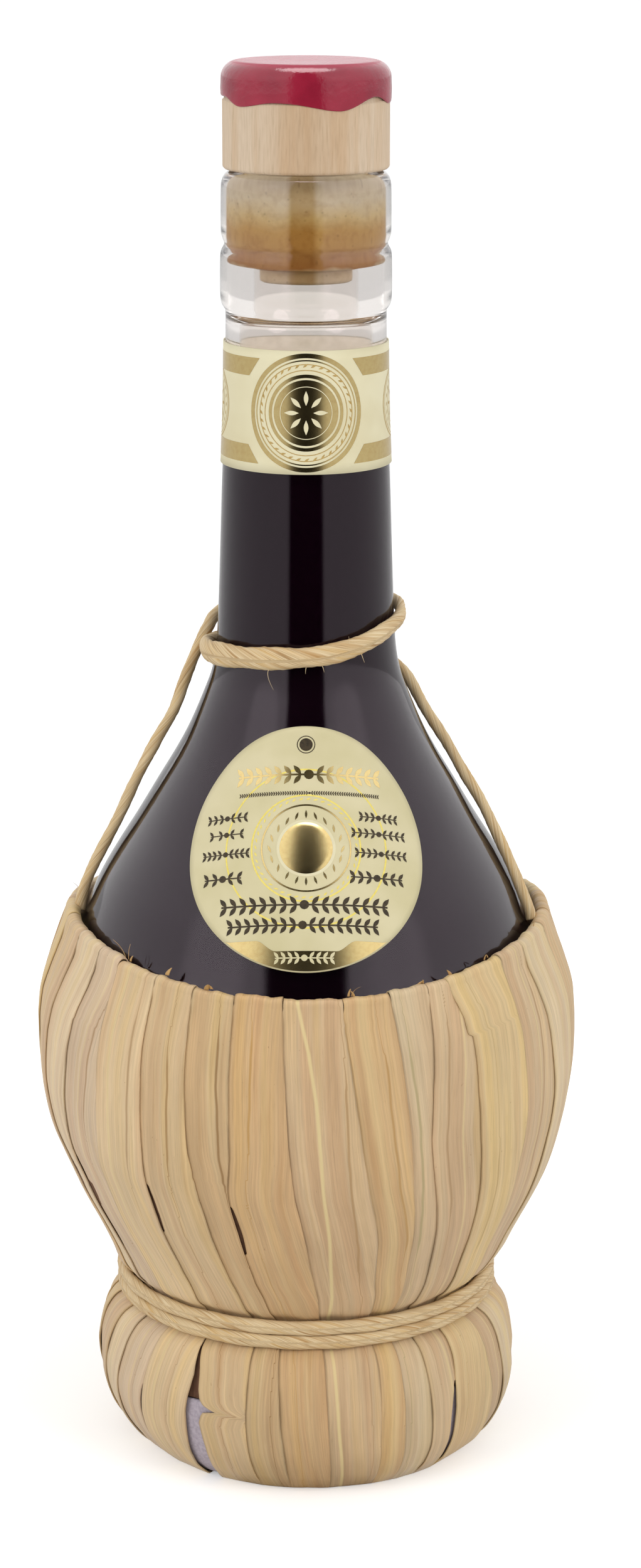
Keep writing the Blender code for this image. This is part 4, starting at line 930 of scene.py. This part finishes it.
def garland(start, end, v, size):
    """A straight stem with pairs of leaves, which lean forward in its right half and back in its left, and a berry."""
    middle, low, high = (start + end) / 2, v - 0.05 * size, v + 0.05 * size
    parts = [bar_part(((start, low), (end, low), (end, high), (start, high)))]
    parts.append(ring_part(0.01, 0.26 * size, middle, v, steps=12))
    count = max(2, round((end - middle - 0.4 * size) / (0.5 * size)))
    for at in middle + 0.4 * size + np.arange(count) * (end - middle - 0.7 * size) / (count - 1):
        for turn in (52, -52):
            parts.append(leaf_part(at, v, 0.62 * size, 0.25 * size, turn))
            parts.append(leaf_part(2 * middle - at, v, 0.62 * size, 0.25 * size, 180 - turn))
    return parts


def print_parts(name, parts, where, lift, material):
    """Lay flat parts on a label as one thin printed layer, with its faces outwards."""
    shapes = []
    for u, v in parts:
        points, faces = where(u, v, lift).reshape(-1, 3), grid_faces(*u.shape)
        a, b, d = (points[faces[:, i]] for i in (0, 1, 3))
        out = np.sum(np.cross(b - a, d - a) * (a * (1, 1, 0)))
        shapes.append((points, faces if out > 0 else faces[:, ::-1]))
    make_piece(name, *join_parts(shapes), material, "neck_label_paper" if where is on_neck else "body_label_paper")


def make_band(name, columns, half, rows, outer, inner, material, replaces=()):
    """A closed paper band round the neck, half its height up and down, between two lifts off the glass."""
    u, v = np.meshgrid(np.linspace(0, NECK_ROUND, columns + 1)[:-1], np.linspace(-half, half, rows))
    points = np.vstack([on_neck(u, v, outer), on_neck(u, v[::-1], inner)])
    faces = grid_faces(2 * rows, columns, wrap_columns=True, wrap_rows=True)
    make_piece(name, points, faces, material, "neck_label_paper", replaces)


def make_papers():
    """The neck's paper band and the shoulder's round paper."""
    make_band("neck_paper", 240, 10.75, 12, 0.0004, 0.0001, NECK_PAPER, ("neck_label",))
    rings, steps = 22, 160
    radius = 22.1 * np.concatenate([np.linspace(0.001, 1, rings), np.linspace(1, 0.001, rings)])[:, None]
    lift = np.repeat((0.0006, 0.0003), rings)[:, None]
    points = on_shoulder(0.973 * radius * np.sin(around(steps)), radius * np.cos(around(steps)), lift)
    faces = grid_faces(2 * rings, steps, wrap_columns=True)[:, ::-1]
    caps = [cap[::-1] for cap in end_caps(2 * rings, steps)]
    make_piece("shoulder_paper", points, faces, BODY_PAPER, "body_label_paper", ("body_label",), extra=caps)


def print_neck():
    """Ornament on the neck's band: large medallions in front and behind, small ones beside, slanted bands between."""
    gold, thin, relief, half = [], [], [], NECK_ROUND / 2
    ends = ((8.6, 9.2), (half / 2, 9.2), (half / 2, 6.0), (10.9, 6.0))
    for at in (0, half):
        gold += [ring_part(inner, outer, at) for inner, outer in ((9.55, 10.35), (9.0, 9.22), (6.1, 6.7))]
        gold.append(ring_part(0.01, 5.75, at, steps=48))
        gold += [bar_part([(at + way * u, sign * v) for u, v in ends]) for sign in (-1, 1) for way in (-1, 1)]
        thin += [ring_part(7.35, 7.5, at), ring_part(8.35, 8.5, at), *leaf_ring(36, 7.9, 1.1, 0.34, 35, at, aside=0.55)]
        relief += [*leaf_ring(8, 1.3, 2.5, 0.8, 90, at), ring_part(4.5, 4.62, at)]
    for at in (half / 2, 1.5 * half):
        thin += [ring_part(inner, outer, at) for inner, outer in ((6.05, 6.3), (5.55, 5.7), (3.6, 3.8), (1.5, 1.75))]
        thin += leaf_ring(20, 4.7, 0.9, 0.35, 70, at, -0.4, spin=0) + leaf_ring(8, 1.9, 1.5, 0.6, 90, at)
    print_parts("neck_foil", gold, on_neck, 0.00043, FOIL)
    print_parts("neck_lines", thin, on_neck, 0.00042, ink_material("thin_gold_ink", "#B89B5E", "#A98C50"))
    print_parts("neck_relief", relief, on_neck, 0.00046, NECK_PAPER)
    # The label's glued side, seen through the glass, is white, with a painted glow from emission standing in for the
    # daylight that comes through thin paper
    glued = grained(
        "paper_back_painted_glow", 600.0, 3.0, ((0.3, "#DDD6C8"), (0.65, "#EAE4D8")),
        Roughness=0.8, Specular_IOR_Level=0.1, Emission_Strength=0.75,
    )
    make_band("neck_paper_back", 180, 10.6, 8, 0.00008, 0.00003, glued)


def print_shoulder():
    """Ornament on the round label: a foil crescent and ring, a raised boss, and garlands of leaves."""
    s = np.linspace(-1, 1, 61)
    low = -np.sqrt(21.85 ** 2 - (14.6 * s) ** 2)
    high = np.maximum(low + 0.02, -16.4 - 1.9 * (1 - smoothstep(5.5, 9.0, np.abs(14.6 * s))))
    crescent = np.broadcast_to(14.1 * s, (7, 61)), low + (high - low) * np.linspace(0, 1, 7)[:, None]
    print_parts("shoulder_foil", [ring_part(7.65, 7.95), crescent], on_shoulder, 0.00064, FOIL)
    print_parts("shoulder_boss", [ring_part(0.01, 4.65, steps=60)], on_boss, 0.00064, FOIL)
    print_parts("shoulder_sprig", garland(-5.4, 4.8, -19.5, 2.2), on_shoulder, 0.00067, BODY_PAPER)
    stamped = garland(-12.2, 13.2, 13.4, 3.4) + [
        leaf_part(6.1 * math.sin(a), 6.1 * math.cos(a) - 0.7, 1.5, 0.42, 90 + 25 * math.sin(3 * a)) for a in around(20)
    ]
    print_parts("shoulder_stamped", stamped, on_shoulder, 0.00063, FOIL)
    print_parts("shoulder_ring", [ring_part(4.65, 5.15)], on_shoulder, 0.00063, NECK_PAPER)
    pale = [ring_part(9.45, 9.75), ring_part(14.15, 14.45), *leaf_ring(44, 8.75, 0.9, 0.3, 20)]
    yellow = ink_material("pale_yellow_ink", "#E8D673", "#E2CE66")
    print_parts("shoulder_lines", pale, on_shoulder, 0.00062, yellow)

    # Garlands stand in lines of the printed matter's height and weight: middle, height up, size and reach
    dark = [ring_part(0.01, 1.15, v=18.8, steps=24), ring_part(1.45, 1.6, v=18.8, steps=24)]
    for u, v, size, reach in (
        (0.6, 10.0, 0.8, 12.5), (-14.2, 6.1, 1.9, 3.7), (13.0, 6.1, 1.9, 3.5), (-14.3, 3.1, 1.9, 3.1), (13.0, 3.1, 1.9, 4.9),
        (-14.4, -0.5, 1.9, 4.3), (13.4, -0.5, 1.9, 4.7), (-14.8, -5.0, 2.5, 3.4), (12.5, -5.0, 2.5, 4.7),
        (-0.3, -10.2, 3.2, 14.6), (-0.6, -13.8, 2.9, 13.1),
    ):
        dark += garland(u - reach, u + reach, v, size)
    print_parts("shoulder_ink", dark, on_shoulder, 0.00064, ink_material("dark_brown_ink", "#3F3424", "#2E261A"))


make_papers()
print_neck()
print_shoulder()

# Torn ends and loose fibres at the rim: azimuth, height in mm, length, width, how far they lean along the rim, and out
RIM_BITS = (
    (-44.7, 100.6, 1.6, 0.5, 0.2, -0.2), (-46.5, 100.9, 4.2, 0.14, -0.7, 0.1), (-45.4, 100.8, 3.2, 0.12, -0.3, -0.4),
    (-33.3, 99.9, 1.5, 0.9, 0.3, -0.5), (-22.8, 98.6, 2.0, 1.0, 0.4, 0.3), (-21.6, 98.8, 1.3, 0.7, -0.5, 0.2),
    (-14.5, 97.8, 1.6, 0.14, 0.6, 0.5), (9.4, 98.3, 2.0, 0.45, 0.2, -0.1), (10.6, 98.3, 1.5, 0.5, -0.4, 0.2),
    (10.0, 98.3, 3.1, 0.12, 0.5, 0.2), (26.0, 99.0, 1.4, 0.8, 0.7, 0.1), (27.2, 99.2, 1.0, 0.5, -0.2, 0.3),
    (34.8, 99.6, 1.5, 0.8, -0.5, -0.1), (45.7, 100.7, 1.6, 0.4, 0.2, 0.1), (47.0, 100.9, 1.2, 0.3, -0.6, 0.2),
    (70.0, 101.6, 1.8, 0.3, 0.4, 0.0), (118.0, 100.8, 1.5, 0.7, 0.3, 0.2), (150.0, 98.9, 2.6, 0.14, -0.6, 0.4),
    (196.0, 97.9, 1.7, 0.8, 0.4, 0.1), (231.0, 99.6, 1.4, 0.6, -0.5, 0.2), (255.0, 101.0, 3.0, 0.13, 0.5, 0.3),
)
BIT_ROWS, BIT_SIDES = 9, 6


def rim_bit(azimuth, height, length, width, lean, out, seed):
    """A torn end: a flat spindle whose middle line bends along a parabola, up from the rim, along it and outwards."""
    azimuth = math.radians(azimuth)
    root = place(azimuth, straw_radius(height * MM) - 0.0007, (height - 0.5) * MM)
    right, away = place(azimuth + TURN / 4, 1, 0), place(azimuth, 1, 0)
    s = np.linspace(0, 1, BIT_ROWS)[:, None]
    bend = 0.5 * lean * right + out * away - (0, 0, np.random.default_rng(seed).uniform(0.05, 0.3))
    line = root + length * MM * (s * (0.5 * lean * right + (0, 0, 0.85)) + s ** 2 * bend)
    half = (width * MM / 2 * (1 - 0.75 * s ** 2))[:, None]
    turn = around(BIT_SIDES)[None, :, None]
    ring = np.cos(turn) * right * half + np.sin(turn) * away * (half * 0.25 + 0.00004)
    return (line[:, None] + ring).reshape(-1, 3), grid_faces(BIT_ROWS, BIT_SIDES, wrap_columns=True)


def make_rim_bits():
    """The torn ends and loose fibres, joined, with both ends of each closed."""
    parts = [rim_bit(*row, seed) for seed, row in enumerate(RIM_BITS)]
    points, faces = join_parts(parts)
    each = BIT_ROWS * BIT_SIDES
    caps = [cap for k in range(len(parts)) for cap in end_caps(BIT_ROWS, BIT_SIDES, k * each)]
    values = husk_values(
        len(points), "#B8935F", PLAIN_MARK, rib=NO_SPLIT, split=NO_SPLIT, rib_strength=0.0, streaks=0.4,
        seed=np.repeat(np.arange(len(parts)) * 2.1, each), margin=NO_SPLIT,
    )
    husk, uv = bpy.data.materials["dry_husk_leaf"], points[:, [0, 2]] / MM
    make_piece("rim_torn_ends", points, faces, husk, "leaf", (), uv, values, extra=caps)


def make_linings():
    """Two rings behind the leaves: the board at the base, and above it the inner husk, painted dark brown as painted
    shade, each following the straw.
    """
    # The inner husk's dark brown is painted shade for husk that lies deep behind the leaves
    felt, fibres = ((0.3, "#A096A0"), (0.65, "#B6ACB5")), ((0.3, "#5E4334"), (0.7, "#7A5A46"))
    card = grained("grey_millboard", 1700.0, 4.0, felt, (0.4, 0.0001), Roughness=0.8, Specular_IOR_Level=0.2)
    inner = grained("inner_husk_painted_shade", (1400, 1400, 60), 3.0, fibres, (0.5, 0.0001), Roughness=0.8, Specular_IOR_Level=0.1)
    for name, low, high, inset, wall, material, slot, nodes in (
        ("base_board", 0.0009, 0.0176, 0.00062, 0.0009, card, "card", ("base_band",)),
        ("inner_husk", 0.0179, 0.0700, 0.00078, 0.0003, inner, "leaf", ()),
    ):
        height = np.linspace(low, high, 48)
        outside = np.stack([straw_radius(height) - inset, height], axis=1)
        profile = np.vstack([outside, outside[::-1] - (wall, 0)])
        points = shift_foot(place(around(120), profile[:, 0:1], profile[:, 1:2]))
        faces = grid_faces(len(profile), 120, wrap_columns=True, wrap_rows=True)
        make_piece(name, points, faces[:, ::-1], material, slot, nodes)


make_linings()
make_rim_bits()
